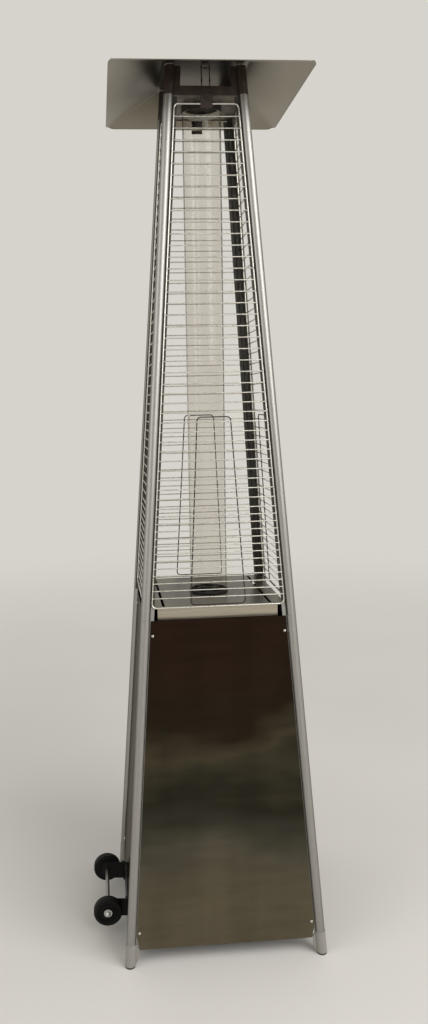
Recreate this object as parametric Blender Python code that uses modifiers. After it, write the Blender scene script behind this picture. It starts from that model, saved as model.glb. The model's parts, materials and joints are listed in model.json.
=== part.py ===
"""A gas patio heater: four leaning legs, a glass flame tube inside wire guards, and a pyramid reflector."""

import math

import bmesh
import bpy
from mathutils import Matrix, Vector

# Fits: the gap between pieces that touch, how far a cut overruns, and the distance that welds loose caps
GAP = 0.0003
OVERRUN = 0.002
WELD = 0.00001

# Corner legs: centre lines at the floor and at the tube tops, tube section, and the lower half's flanges
FOOT_SPREAD = 0.2518
TOP_SPREAD = 0.0872
LEG_TOP = 2.2515
TABLE_TOP = 0.925
TUBE_RADIUS = 0.0125
TUBE_WALL = 0.0015
FLANGE_WIDTH = 0.0095
FLANGE_SHEET = 0.0015
FLANGE_RISE = 0.005

# Foot caps, each a sleeve with two leaf-shaped wings under the flanges, and their pads
PAD_HEIGHT = 0.0038
PAD_RADIUS = 0.0131
CAP_TOP = 0.060
CAP_FLOOR = 0.0018
CAP_RADIUS = 0.0138
CAP_EDGE = 0.0006
WING_REACH = 0.0205
WING_TOE = 0.0115
WING_LOW = 0.018
WING_HIGH = 0.046
WING_THICKNESS = 0.006
WING_ROUND = 0.006
WING_TOP_ROUND = 0.004

# Sheet panels: their sheet, and how far their edges stay from the leg lines
SHEET = 0.001
PANEL_EDGE = 0.0135
PANEL_BOTTOM = 0.043
PANEL_DROP = 0.0305
PANEL_CAP_CLEARANCE = 0.002
PANEL_CORNER_HEIGHT = 0.034
LIP_DEPTH = 0.007
LIP_CLEARANCE = 0.002

# Shelves and burner table: plates whose corners reach the tubes, with folded skirts
SHELF_SHEET = 0.0012
SHELF_INSET = 0.0087
SHELF_SKIRT_END = 0.030
TABLE_SKIRT = 0.035
TABLE_HOLE_RADIUS = 0.0465
TABLE_SLOT_INSET = 0.038
TABLE_SLOT_WIDTH = 0.007
TABLE_SLOT_END_INSET = 0.0095
TABLE_SLOT_ROUND = 0.002
CONTROL_SHELF_DROP = 0.125
CONTROL_SHELF_SKIRT = 0.010
INLET_HOLE_RADIUS = 0.014
BASE_SHELF_TOP = 0.085
BASE_SHELF_SKIRT = 0.020

# Door on the side away from the wheels, with its two hinges
DOOR_DROP = 0.004
DOOR_DEPTH = 0.007
HINGE_LINE = 0.026
HINGE_BARREL = 0.003
HINGE_PIN = 0.0015
HINGE_KNUCKLE = 0.018
HINGE_LEAF = 0.0012
HINGE_LOWER = 0.130
HINGE_UPPER_DROP = 0.106
DOOR_HINGE_PLAY = 0.0006
DOOR_TAB = 0.008
DOOR_RETURN_INSET = 0.0015
HANDLE_RADIUS = 0.005
HANDLE_REACH = 0.032
HANDLE_LENGTH = 0.120
HANDLE_DROP = 0.196
HANDLE_EDGE = 0.050
HANDLE_BEND = 0.014
MAGNET_PLACE = 0.100
MAGNET_WIDTH = 0.040
MAGNET_HEIGHT = 0.016
MAGNET_DEPTH = 0.015

# Control fascia, knob, valve and igniter
FASCIA_SEAM = 0.0025
KNOB_RADIUS = 0.022
KNOB_HEIGHT = 0.020
KNOB_SKIRT = 0.004
KNOB_LIFT = 0.0055
KNOB_GRIP_WIDTH = 0.009
KNOB_GRIP_RISE = 0.007
KNOB_CROWN = 0.003
STEM_RADIUS = 0.004
STEM_INTO_KNOB = 0.012
STEM_INTO_VALVE = 0.010
STEM_TRAVEL = 0.004
VALVE_WIDTH = 0.036
VALVE_HEIGHT = 0.034
VALVE_DEPTH = 0.042
VALVE_NECK_RADIUS = 0.010
VALVE_NECK = 0.006
INLET_RADIUS = 0.0065
INLET_BARB_RADIUS = 0.0085
INLET_NUT_RADIUS = 0.011
INLET_NUT = 0.008
INLET_LENGTH = 0.060
INLET_BARB_PITCH = 0.008
INLET_BARBS = 3
INLET_BORE = 0.003
PIPE_RADIUS = 0.005
PIPE_INTO_BURNER = 0.008
IGNITER_PLACE = 0.070
IGNITER_RADIUS = 0.008
IGNITER_BEZEL_RADIUS = 0.0115
IGNITER_BEZEL = 0.003
IGNITER_LENGTH = 0.032
BUTTON_RADIUS = 0.005
BUTTON_PROUD = 0.0075
BUTTON_LENGTH = 0.016
BUTTON_TRAVEL = 0.006
BUTTON_CROWN = 0.001

# Burner, pilot and tilt switch, all standing on the control shelf
BURNER_FOOT_RADIUS = 0.026
BURNER_FOOT = 0.003
BURNER_NECK_RADIUS = 0.016
BURNER_NECK = 0.060
BURNER_RADIUS = 0.034
BURNER_SHOULDER = 0.078
BURNER_RIM = 0.106
BURNER_DOME = 0.012
PILOT_PLACE = 0.0425
PILOT_TUBE_RADIUS = 0.0032
PILOT_PROBE_RADIUS = 0.002
PILOT_PITCH = 0.010
PILOT_HEIGHT = 0.116
PILOT_BRIDGE = 0.095
PILOT_PLATE = 0.0015
SWITCH_RADIUS = 0.013
SWITCH_HEIGHT = 0.024
SWITCH_FOOT = 0.0025
SWITCH_FOOT_RADIUS = 0.020
SWITCH_PLACE = 0.085

# Head: ring between the legs with guard clips and corner ears, plate, collar and screen
RING_DROP = 0.0695
RING_HEIGHT = 0.0225
RING_SHEET = 0.002
EAR_WIDTH = 0.0145
CLIP_WIDTH = 0.030
CLIP_SHEET = 0.0012
CLIP_HANG = 0.032
CLIP_ARM = 0.004
COLLAR_HEIGHT = 0.016
COLLAR_WALL = 0.0012
SCREEN_RADIUS = 0.056
SCREEN_HOLE = 0.0065
SCREEN_PITCH = 0.0185
SCREEN_RINGS = 2
SCREEN_RING_HOLES = 6
SCREEN_HOLE_STEPS = 6
STAY_HALF = 0.010
STAY_RADIUS = 0.0014
STAY_CORNER = 0.004

# Glass tube and the ring that it stands in
GLASS_RADIUS = 0.050
GLASS_WALL = 0.003
GLASS_DROP = 0.004
OUTLET_RIM = 0.002
SEAT_THICKNESS = 0.0015
SEAT_LIP = 0.0065
SEAT_LIP_WALL = 0.002

# Wire guards, one on each face: frame wire, cross wires, and the long loop behind them
GUARD_LIFT = 0.0015
GUARD_DROP = 0.021
GUARD_EDGE = 0.0148
GUARD_FRAME_RADIUS = 0.00225
GUARD_WIRE_RADIUS = 0.0015
GUARD_CORNER = 0.011
LOOP_HEIGHT = 0.477
LOOP_LIFT = 0.0065
LOOP_TOP_HALF = 0.042
LOOP_BOTTOM_HALF = 0.070
LOOP_CORNER = 0.010
WIRE_BITE = 0.0004

# Cross wires from the top down: how many in each spacing, and the spacings as shares of the guard's height
UPPER_WIRES = 23
MIDDLE_WIRES = 13
LOWER_WIRES = 12
FIRST_WIRE_SHARE = 0.0243
UPPER_PITCH_SHARE = 0.02276
MIDDLE_PITCH_SHARE = 0.01928
LOWER_PITCH_SHARE = 0.01515

# Reflector and the posts that carry it in the leg ends
REFLECTOR_HALF = 0.2406
REFLECTOR_FLAT = 0.1045
REFLECTOR_RISE = 0.006
REFLECTOR_DEPTH = 0.051
REFLECTOR_CORNER = 0.025
POST_PLUG = 0.022
POST_FLANGE = 0.002
POST_STUD_RADIUS = 0.005

# Wheels on the left, with their bracket, axle and nuts
WHEEL_RADIUS = 0.039
WHEEL_WIDTH = 0.024
WHEEL_PLACE = 0.1086
WHEEL_ROUND = 0.005
WHEEL_DISH = 0.004
WHEEL_DISH_RADIUS = 0.027
WHEEL_HUB_RADIUS = 0.010
AXLE_RADIUS = 0.0055
AXLE_HEIGHT = 0.0657
AXLE_REACH = 0.0533
BRACKET_SHEET = 0.003
BRACKET_EAR = 0.090
BRACKET_HEIGHT = 0.050
BRACKET_ROUND = 0.014
NUT_RADIUS = 0.0085
NUT_HEIGHT = 0.006
NUT_DOME = 0.005
NUT_SIDES = 6

# How finely round shapes are drawn
ROUND_STEPS = 32
TUBE_STEPS = 20
SMALL_STEPS = 12
CORNER_STEPS = 3

# Heights that follow the table or the leg tops
FLANGE_TOP = TABLE_TOP + FLANGE_RISE
PANEL_TOP = TABLE_TOP - PANEL_DROP
CONTROL_SHELF_TOP = TABLE_TOP - CONTROL_SHELF_DROP
DOOR_TOP = CONTROL_SHELF_TOP - DOOR_DROP
HINGE_UPPER = DOOR_TOP - HINGE_UPPER_DROP
HANDLE_MIDDLE = DOOR_TOP - HANDLE_DROP
RING_BOTTOM = LEG_TOP - RING_DROP
CLIP_BOTTOM = RING_BOTTOM - CLIP_HANG
GLASS_TOP = RING_BOTTOM - GLASS_DROP
OUTLET_RADIUS = GLASS_RADIUS - OUTLET_RIM
GUARD_BOTTOM = TABLE_TOP + GUARD_LIFT
GUARD_TOP = RING_BOTTOM - GUARD_DROP
LOOP_TOP = TABLE_TOP + LOOP_HEIGHT
LOOP_BOTTOM = TABLE_TOP + LOOP_LIFT
REFLECTOR_UNDER = LEG_TOP + REFLECTOR_RISE
REFLECTOR_RIM = REFLECTOR_UNDER - REFLECTOR_DEPTH

# Values worked out from the sizes above
LEAN = (FOOT_SPREAD - TOP_SPREAD) / LEG_TOP
TILT = math.atan(LEAN)
FACE_LEAN = math.sin(TILT)
FLANGE_REACH = TUBE_RADIUS + FLANGE_WIDTH
SKIN_INNER = -(FLANGE_SHEET / 2 + GAP)
SKIN_OUTER = SKIN_INNER - SHEET
HINGE_DEPTH = -(FLANGE_SHEET / 2 + GAP + HINGE_BARREL)
CAP_BOTTOM = PAD_HEIGHT + GAP
LEG_BOTTOM = CAP_BOTTOM + CAP_FLOOR + GAP
PANEL_CORNER_WIDTH = WING_REACH + PANEL_CAP_CLEARANCE - PANEL_EDGE
FASCIA_BOTTOM = DOOR_TOP + FASCIA_SEAM
CONTROLS_HEIGHT = (FASCIA_BOTTOM + PANEL_TOP) / 2
GUARD_DEPTH = -(FLANGE_SHEET / 2 + GAP + GUARD_FRAME_RADIUS)
LOOP_DEPTH = GUARD_DEPTH + GUARD_WIRE_RADIUS + GUARD_WIRE_RADIUS - WIRE_BITE
WHEEL_SIDE_REACH = FOOT_SPREAD + AXLE_REACH + WHEEL_RADIUS
FOOT_SIDE_REACH = FOOT_SPREAD + CAP_RADIUS - LEAN * CAP_BOTTOM
AXIS_OFFSET = (WHEEL_SIDE_REACH - FOOT_SIDE_REACH) / 2

# The four faces, each a quarter turn on from the last, and the four corners as signs of x and y
SIDES = ("front", "right", "back", "left")
CORNERS = {
    "front_left": (-1, -1),
    "front_right": (1, -1),
    "back_right": (1, 1),
    "back_left": (-1, 1),
}

# Colours, metallic and roughness of each material
FINISHES = {
    "satin_steel_tube": ("8F8C87", 1.0, 0.32),
    "grey_cap": ("8A8A88", 0.6, 0.45),
    "black_rubber": ("141414", 0.0, 0.85),
    "polished_dark_steel": ("4A3D33", 1.0, 0.22),
    "brushed_steel": ("A39B8C", 1.0, 0.35),
    "nickel_wire": ("B9B5AD", 1.0, 0.25),
    "dark_head_steel": ("2B2724", 0.8, 0.50),
    "reflector_sheet": ("8E887B", 1.0, 0.40),
    "clear_glass": ("E8EEEC", 0.0, 0.05),
    "silicone_seal": ("2B2927", 0.0, 0.70),
    "cast_valve": ("9A9A98", 0.8, 0.50),
    "brass": ("B08D4A", 1.0, 0.35),
    "black_plastic": ("171717", 0.0, 0.45),
    "burner_steel": ("6E6A64", 1.0, 0.45),
    "zinc_rod": ("B4B4AE", 1.0, 0.30),
    "black_painted_steel": ("101010", 0.3, 0.45),
    "chrome": ("CFCFCB", 1.0, 0.12),
    "ceramic_magnet": ("2E2E2E", 0.1, 0.60),
}


def start_scene():
    for old in list(bpy.data.objects):
        bpy.data.objects.remove(old, do_unlink=True)
    parts = bpy.data.collections.new("patio_heater")
    cutters = bpy.data.collections.new("patio_heater_cutters")
    bpy.context.scene.collection.children.link(parts)
    bpy.context.scene.collection.children.link(cutters)
    axis = bpy.data.objects.new("pyramid_axis", None)
    axis.location = (AXIS_OFFSET, 0, 0)
    parts.objects.link(axis)
    return parts, cutters, axis


PARTS, CUTTERS, AXIS = start_scene()


def linear(channel):
    """One sRGB channel, 0 to 1, as the linear value that Blender stores."""
    return channel / 12.92 if channel <= 0.04045 else ((channel + 0.055) / 1.055) ** 2.4


def material(finish):
    found = bpy.data.materials.get(finish)
    if found:
        return found
    hex_colour, metallic, roughness = FINISHES[finish]
    made = bpy.data.materials.new(finish)
    made.use_nodes = True
    shader = made.node_tree.nodes["Principled BSDF"]
    colour = [linear(int(hex_colour[i : i + 2], 16) / 255) for i in (0, 2, 4)]
    shader.inputs["Base Color"].default_value = (*colour, 1)
    shader.inputs["Metallic"].default_value = metallic
    shader.inputs["Roughness"].default_value = roughness
    return made


def evaluated_mesh(holder):
    """The mesh of an object as Blender evaluates it, with loose caps welded. The object goes."""
    bpy.context.view_layer.update()
    mesh = bpy.data.meshes.new_from_object(holder.evaluated_get(bpy.context.evaluated_depsgraph_get()))
    bpy.data.objects.remove(holder, do_unlink=True)
    shape = bmesh.new()
    shape.from_mesh(mesh)
    bmesh.ops.remove_doubles(shape, verts=shape.verts, dist=WELD)
    bmesh.ops.recalc_face_normals(shape, faces=shape.faces)
    shape.to_mesh(mesh)
    shape.free()
    mesh.materials.clear()
    return mesh


def guide(name, data):
    """An object for a cutter or for a shape on its way to a mesh, which stays out of renders."""
    holder = bpy.data.objects.new(name, data)
    holder.hide_render = True
    holder.display_type = "WIRE"
    CUTTERS.objects.link(holder)
    return holder


def finished(shape, name):
    mesh = bpy.data.meshes.new(name)
    shape.to_mesh(mesh)
    shape.free()
    return mesh


def box(low, high):
    shape = bmesh.new()
    bmesh.ops.create_cube(shape, size=1)
    size = Vector(high) - Vector(low)
    middle = (Vector(high) + Vector(low)) / 2
    bmesh.ops.scale(shape, vec=size, verts=shape.verts)
    bmesh.ops.translate(shape, vec=middle, verts=shape.verts)
    return finished(shape, "box")


def cylinder(radius, low, high, steps=SMALL_STEPS):
    """A cylinder on the Z axis from low to high."""
    shape = bmesh.new()
    bmesh.ops.create_cone(
        shape, cap_ends=True, segments=steps, radius1=radius, radius2=radius, depth=high - low
    )
    bmesh.ops.translate(shape, vec=(0, 0, (low + high) / 2), verts=shape.verts)
    return finished(shape, "cylinder")


def turned(profile, steps=TUBE_STEPS, closed=False):
    """A profile of (radius, height) points turned round Z; closed joins its last point to its first."""
    shape = bmesh.new()
    points = [shape.verts.new((radius, 0, height)) for radius, height in profile]
    for first, second in zip(points, points[1:]):
        shape.edges.new((first, second))
    if closed:
        shape.edges.new((points[-1], points[0]))
    holder = guide("profile", finished(shape, "profile"))
    screw = holder.modifiers.new("turn", "SCREW")
    screw.steps = steps
    screw.render_steps = steps
    screw.use_merge_vertices = True
    screw.merge_threshold = WELD
    return evaluated_mesh(holder)


def plate(outlines, low, high):
    """A flat outline with any holes, in XY, as thick as it stands from low to high."""
    curve = bpy.data.curves.new("outline", "CURVE")
    curve.dimensions = "2D"
    curve.fill_mode = "BOTH"
    curve.extrude = (high - low) / 2
    for outline in outlines:
        spline = curve.splines.new("POLY")
        spline.points.add(len(outline) - 1)
        for point, (x, y) in zip(spline.points, outline):
            point.co.xy = (x, y)
        spline.use_cyclic_u = True
    mesh = evaluated_mesh(guide("outline", curve))
    mesh.transform(Matrix.Translation((0, 0, (low + high) / 2)))
    return mesh


def wires(runs, radius, resolution, tilt=0):
    """Wires along runs of points, each given with whether it closes; tilt turns the section."""
    curve = bpy.data.curves.new("wires", "CURVE")
    curve.dimensions = "3D"
    curve.bevel_depth = radius
    curve.bevel_resolution = resolution
    curve.use_fill_caps = True
    for points, closes in runs:
        spline = curve.splines.new("POLY")
        spline.points.add(len(points) - 1)
        for point, place in zip(spline.points, points):
            point.co.xyz = place
            point.tilt = tilt
        spline.use_cyclic_u = closes
    return evaluated_mesh(guide("wires", curve))


def combined(body, joins=(), cuts=()):
    """A mesh joined with some meshes, then cut by others."""
    holder = guide("body", body)
    tools = []
    for operation, meshes in (("UNION", joins), ("DIFFERENCE", cuts)):
        for mesh in meshes:
            tool = guide("tool", mesh)
            change = holder.modifiers.new("change", "BOOLEAN")
            change.operation = operation
            change.solver = "EXACT"
            change.object = tool
            tools.append(tool)
    mesh = evaluated_mesh(holder)
    for tool in tools:
        bpy.data.objects.remove(tool, do_unlink=True)
    return mesh


def moved(mesh, *steps):
    """A mesh taken through some matrices, the first one first."""
    for step in steps:
        mesh.transform(step)
    return mesh


def shift(x, y, z):
    return Matrix.Translation((x, y, z))


def turn(angle, axis):
    return Matrix.Rotation(angle, 4, axis)


def circle(radius, steps, x=0, y=0):
    turns = [2 * math.pi * step / steps for step in range(steps)]
    return [(x + radius * math.cos(angle), y + radius * math.sin(angle)) for angle in turns]


def rectangle(low_x, low_y, high_x, high_y):
    return [(low_x, low_y), (high_x, low_y), (high_x, high_y), (low_x, high_y)]


def rounded(corners, radii):
    """The outline through these corners, each turned into an arc of its own radius; zero stays sharp."""
    outline = []
    for place, (corner, radius) in enumerate(zip(corners, radii)):
        here = Vector(corner)
        if not radius:
            outline.append(tuple(here))
            continue
        to_last = (Vector(corners[place - 1]) - here).normalized()
        to_next = (Vector(corners[(place + 1) % len(corners)]) - here).normalized()
        half_angle = to_last.angle(to_next) / 2
        centre = here + (to_last + to_next).normalized() * (radius / math.sin(half_angle))
        first = here + to_last * (radius / math.tan(half_angle)) - centre
        last = here + to_next * (radius / math.tan(half_angle)) - centre
        sweep = math.atan2(first.cross(last), first.dot(last))
        for step in range(CORNER_STEPS + 1):
            spot = Matrix.Rotation(sweep * step / CORNER_STEPS, 2) @ first + centre
            outline.append(tuple(spot))
    return outline


def node(name, mesh, finish, place=(0, 0, 0), rotation=(0, 0, 0)):
    """One named piece of the heater, placed from the pyramid's axis."""
    mesh.name = name
    mesh.materials.append(material(finish))
    mesh.shade_smooth()
    mesh.set_sharp_from_angle(angle=math.radians(30))
    piece = bpy.data.objects.new(name, mesh)
    piece.location = place
    piece.rotation_euler = rotation
    piece.parent = AXIS
    PARTS.objects.link(piece)
    return piece


# A face's own frame: X across, Y inward from the leg lines, Z up along the slope from the floor


def along(height):
    """The distance up a face's slope to a height."""
    return height / math.cos(TILT)


def leg_line(slope):
    """How far a leg's centre line lies from a face's middle, at a distance up the slope."""
    return FOOT_SPREAD - FACE_LEAN * slope


def leg_spread(height):
    """How far a leg's centre line lies out from the pyramid's axis at a height."""
    return FOOT_SPREAD - LEAN * height


def face_turn(side):
    return math.pi / 2 * SIDES.index(side)


def face_matrix(side):
    return turn(face_turn(side), "Z") @ shift(0, -FOOT_SPREAD, 0) @ turn(-TILT, "X")


def face_node(name, mesh, finish, side, spot=(0, 0, 0)):
    """A piece modelled in a face's frame, with its origin at a spot of that frame."""
    place = face_matrix(side) @ Vector(spot)
    return node(name, mesh, finish, place, (-TILT, 0, face_turn(side)))


def face_plate(outlines, outer, inner):
    """A sheet lying in a face, its outlines given across and up the slope."""
    return moved(plate(outlines, -inner, -outer), turn(math.pi / 2, "X"))


def facing_out(mesh):
    """Turns a piece modelled round Z so that its +Z looks out of a face."""
    return moved(mesh, turn(math.pi / 2, "X"))


def standing_across(mesh):
    """Stands a flat outline up across a face: its X runs inward, its Y up, and its thickness across."""
    return moved(mesh, Matrix(((0, 0, 1, 0), (1, 0, 0, 0), (0, 1, 0, 0), (0, 0, 0, 1))))


def leaning(mesh, corner):
    """Shears a mesh so that its uprights follow the leg of this corner."""
    shear = Matrix.Identity(4)
    shear[0][2] = -corner[0] * LEAN
    shear[1][2] = -corner[1] * LEAN
    return moved(mesh, shear)


def corner_node(name, mesh, finish, corner):
    return node(name, leaning(mesh, corner), finish, (corner[0] * FOOT_SPREAD, corner[1] * FOOT_SPREAD, 0))


def trapezoid(bottom, top, left_edge, right_edge):
    """The outline between two legs from one height to another, its edges set in from the leg lines."""
    low, high = along(bottom), along(top)
    return [
        (-(leg_line(low) - left_edge), low),
        (leg_line(low) - right_edge, low),
        (leg_line(high) - right_edge, high),
        (-(leg_line(high) - left_edge), high),
    ]


def build_leg(name, corner):
    bore_radius = TUBE_RADIUS - TUBE_WALL
    tube = plate([circle(TUBE_RADIUS, TUBE_STEPS), circle(bore_radius, TUBE_STEPS)], LEG_BOTTOM, LEG_TOP)
    root = TUBE_RADIUS - TUBE_WALL / 2
    low = CAP_TOP + GAP
    along_x = box((root, -FLANGE_SHEET / 2, low), (FLANGE_REACH, FLANGE_SHEET / 2, FLANGE_TOP))
    along_y = box((-FLANGE_SHEET / 2, root, low), (FLANGE_SHEET / 2, FLANGE_REACH, FLANGE_TOP))
    if corner[0] > 0:
        moved(along_x, turn(math.pi, "Z"))
    if corner[1] > 0:
        moved(along_y, turn(math.pi, "Z"))
    corner_node(name, combined(tube, joins=[along_x, along_y]), "satin_steel_tube", corner)


def build_foot(name, corner):
    sleeve = turned(
        [
            (0, CAP_BOTTOM),
            (CAP_RADIUS, CAP_BOTTOM),
            (CAP_RADIUS, CAP_TOP - CAP_EDGE),
            (CAP_RADIUS - CAP_EDGE, CAP_TOP),
            (0, CAP_TOP),
        ]
    )
    leaf_corners = [
        (0, CAP_BOTTOM + GAP),
        (WING_TOE, CAP_BOTTOM + GAP),
        (WING_REACH, WING_LOW),
        (WING_REACH, WING_HIGH),
        (TUBE_RADIUS, CAP_TOP - CAP_EDGE),
        (0, CAP_TOP - CAP_EDGE),
    ]
    leaf = rounded(leaf_corners, [0, 0, WING_ROUND, WING_ROUND, WING_TOP_ROUND, 0])
    wings = []
    for angle in (math.atan2(0, -corner[0]), math.atan2(-corner[1], 0)):
        wing = plate([leaf], -WING_THICKNESS / 2, WING_THICKNESS / 2)
        wings.append(moved(wing, turn(math.pi / 2, "X"), turn(angle, "Z")))
    pocket = cylinder(TUBE_RADIUS + GAP, LEG_BOTTOM - GAP, CAP_TOP + OVERRUN, TUBE_STEPS)
    corner_node("foot_cap_" + name, combined(sleeve, joins=wings, cuts=[pocket]), "grey_cap", corner)
    corner_node("foot_pad_" + name, cylinder(PAD_RADIUS, 0, PAD_HEIGHT, TUBE_STEPS), "black_rubber", corner)


def lip(slope, side_up):
    """A folded lip between the flanges, behind a panel's top or bottom edge."""
    half = leg_line(slope) - FLANGE_REACH - LIP_CLEARANCE
    low = slope - SHEET - GAP if side_up else slope + GAP
    return box((-half, SKIN_INNER - SHEET / 2, low), (half, LIP_DEPTH, low + SHEET))


def cap_cut(sign):
    """The two outline points of a panel's bottom corner, cut off to clear the foot cap."""
    low = along(PANEL_BOTTOM)
    shoulder = low + PANEL_CORNER_HEIGHT
    inner = (sign * (leg_line(low) - PANEL_EDGE - PANEL_CORNER_WIDTH), low)
    return [inner, (sign * (leg_line(shoulder) - PANEL_EDGE), shoulder)]


def build_panel(name, side):
    low, high = along(PANEL_BOTTOM), along(PANEL_TOP)
    top_half = leg_line(high) - PANEL_EDGE
    outline = [*cap_cut(1), (top_half, high), (-top_half, high), *reversed(cap_cut(-1))]
    skin = face_plate([outline], SKIN_OUTER, SKIN_INNER)
    panel = combined(skin, joins=[lip(low, False), lip(high, True)])
    face_node(name, panel, "polished_dark_steel", side)


def shelf_outline(top):
    """A square whose cut corners meet the leg tubes."""
    spread = leg_spread(top)
    half = spread - SHELF_INSET
    meeting = 2 * spread - math.sqrt(2) * (TUBE_RADIUS + GAP)
    near = meeting - half
    corners = [(near, half), (half, near)]
    outline = []
    for quarter in range(4):
        spin = Matrix.Rotation(-math.pi / 2 * quarter, 2)
        outline += [tuple(spin @ Vector(point)) for point in corners]
    return outline


def shelf(top, skirt, holes):
    """A shelf plate with its four folded skirts, which end short of the legs."""
    spread = leg_spread(top)
    half = spread - SHELF_INSET
    end = spread - SHELF_SKIRT_END
    body = plate([shelf_outline(top), *holes], top - SHELF_SHEET, top)
    skirts = []
    for quarter in range(4):
        outer = GAP - half
        strip = box((-end, outer, top - skirt), (end, outer + SHELF_SHEET, top - SHELF_SHEET / 2))
        skirts.append(moved(strip, turn(math.pi / 2 * quarter, "Z")))
    return combined(body, joins=skirts)


def build_shelves():
    slots = []
    half = TABLE_SLOT_WIDTH / 2
    edge = leg_spread(TABLE_TOP) - SHELF_INSET
    place = edge - TABLE_SLOT_INSET
    for middle in (-place, place):
        reach = edge - TABLE_SLOT_END_INSET
        corners = rectangle(middle - half, -reach, middle + half, reach)
        slots.append(rounded(corners, [TABLE_SLOT_ROUND] * 4))
    table = shelf(TABLE_TOP, TABLE_SKIRT, [circle(TABLE_HOLE_RADIUS, ROUND_STEPS), *slots])
    node("burner_table", table, "brushed_steel")
    inlet = face_matrix("right") @ Vector((0, valve_middle_depth(), along(CONTROLS_HEIGHT)))
    hole = circle(INLET_HOLE_RADIUS, SMALL_STEPS, inlet.x - LEAN * (CONTROLS_HEIGHT - CONTROL_SHELF_TOP), 0)
    node("control_shelf", shelf(CONTROL_SHELF_TOP, CONTROL_SHELF_SKIRT, [hole]), "brushed_steel")
    node("base_shelf", shelf(BASE_SHELF_TOP, BASE_SHELF_SKIRT, []), "black_painted_steel")


def hinge_frame():
    """The door hinge's frame inside the right face's: Z up the hinge line, Y inward."""
    return shift(HINGE_LINE - FOOT_SPREAD, HINGE_DEPTH, 0) @ turn(math.atan(FACE_LEAN), "Y")


def build_hinge(name, bottom):
    """A fixed leaf on the flange, its knuckle and the pin that carries the door's knuckle."""
    low = along(bottom)
    knuckle = cylinder(HINGE_BARREL, low, low + HINGE_KNUCKLE)
    pin = cylinder(HINGE_PIN, low + HINGE_KNUCKLE - OVERRUN, low + 2 * HINGE_KNUCKLE)
    leaf_end = PANEL_EDGE - HINGE_LINE
    leaf = box(
        (leaf_end, HINGE_BARREL / 2, low + GAP),
        (0, HINGE_BARREL / 2 + HINGE_LEAF, low + HINGE_KNUCKLE - GAP),
    )
    hinge = moved(combined(knuckle, joins=[pin, leaf]), hinge_frame())
    face_node(name, hinge, "zinc_rod", "right")


def build_door():
    """The door: a skin with a folded return all round and two knuckles, its origin on the hinge line."""
    hinge_edge = HINGE_LINE + HINGE_BARREL + DOOR_HINGE_PLAY
    free_return = FLANGE_REACH + LIP_CLEARANCE
    corners = trapezoid(PANEL_BOTTOM, DOOR_TOP, hinge_edge, PANEL_EDGE)
    hinge_bottom, _, free_top, hinge_top = corners
    skin = face_plate([[hinge_bottom, *cap_cut(1), free_top, hinge_top]], SKIN_OUTER, SKIN_INNER)
    inset = hinge_edge + DOOR_RETURN_INSET
    ring_low, ring_high = PANEL_BOTTOM + DOOR_RETURN_INSET, DOOR_TOP - DOOR_RETURN_INSET
    outer = trapezoid(ring_low, ring_high, inset, free_return)
    inner = trapezoid(ring_low + SHEET, ring_high - SHEET, inset + SHEET, free_return + SHEET)
    walls = face_plate([outer, inner], SKIN_INNER - SHEET / 2, DOOR_DEPTH)
    joins, cuts = [walls], []
    for bottom in (HINGE_LOWER, HINGE_UPPER):
        low = along(bottom) + HINGE_KNUCKLE + GAP
        high = low + HINGE_KNUCKLE
        joins.append(moved(cylinder(HINGE_BARREL, low, high), hinge_frame()))
        tab_low = (0, HINGE_BARREL / 2, low + GAP)
        tab = box(tab_low, (DOOR_TAB, HINGE_BARREL / 2 + HINGE_LEAF, high - GAP))
        joins.append(moved(tab, hinge_frame()))
        bore = cylinder(HINGE_PIN + GAP, low - OVERRUN, high + OVERRUN)
        cuts.append(moved(bore, hinge_frame()))
    door = combined(skin, joins=joins, cuts=cuts)
    spot = hinge_frame() @ Vector((0, 0, along(PANEL_BOTTOM)))
    face_node("door", moved(door, Matrix.Translation(-spot)), "polished_dark_steel", "right", spot)


def handle_across():
    """Where the handle stands across the right face, in from the door's free edge."""
    return leg_line(along(HANDLE_MIDDLE)) - HANDLE_EDGE


def build_handle():
    middle = along(HANDLE_MIDDLE)
    foot = SKIN_OUTER - GAP
    corners = [
        (foot, middle - HANDLE_LENGTH / 2),
        (foot - HANDLE_REACH, middle - HANDLE_LENGTH / 2),
        (foot - HANDLE_REACH, middle + HANDLE_LENGTH / 2),
        (foot, middle + HANDLE_LENGTH / 2),
    ]
    path = rounded(corners, [0, HANDLE_BEND, HANDLE_BEND, 0])
    run = [(handle_across(), depth, slope) for depth, slope in path]
    face_node("door_handle", wires([(run, False)], HANDLE_RADIUS, 3), "chrome", "right")


def build_magnet():
    top = along(CONTROL_SHELF_TOP - CONTROL_SHELF_SKIRT - GAP + SHELF_INSET * FACE_LEAN)
    front = DOOR_DEPTH + GAP
    half = MAGNET_WIDTH / 2
    low_corner = (MAGNET_PLACE - half, front, top - MAGNET_HEIGHT)
    block = box(low_corner, (MAGNET_PLACE + half, front + MAGNET_DEPTH, top))
    face_node("door_magnet", block, "ceramic_magnet", "right")


def build_fascia():
    slope = along(CONTROLS_HEIGHT)
    outline = trapezoid(FASCIA_BOTTOM, PANEL_TOP, PANEL_EDGE, PANEL_EDGE)
    stem_hole = circle(VALVE_NECK_RADIUS + GAP, TUBE_STEPS, 0, slope)
    igniter_hole = circle(IGNITER_RADIUS + GAP, TUBE_STEPS, -IGNITER_PLACE, slope)
    skin = face_plate([outline, stem_hole, igniter_hole], SKIN_OUTER, SKIN_INNER)
    lips = [lip(along(FASCIA_BOTTOM), False), lip(along(PANEL_TOP), True)]
    face_node("control_fascia", combined(skin, joins=lips), "polished_dark_steel", "right")


def valve_middle_depth():
    """How deep behind the right face the middle of the gas valve lies."""
    return SKIN_INNER + GAP + VALVE_DEPTH / 2


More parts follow.
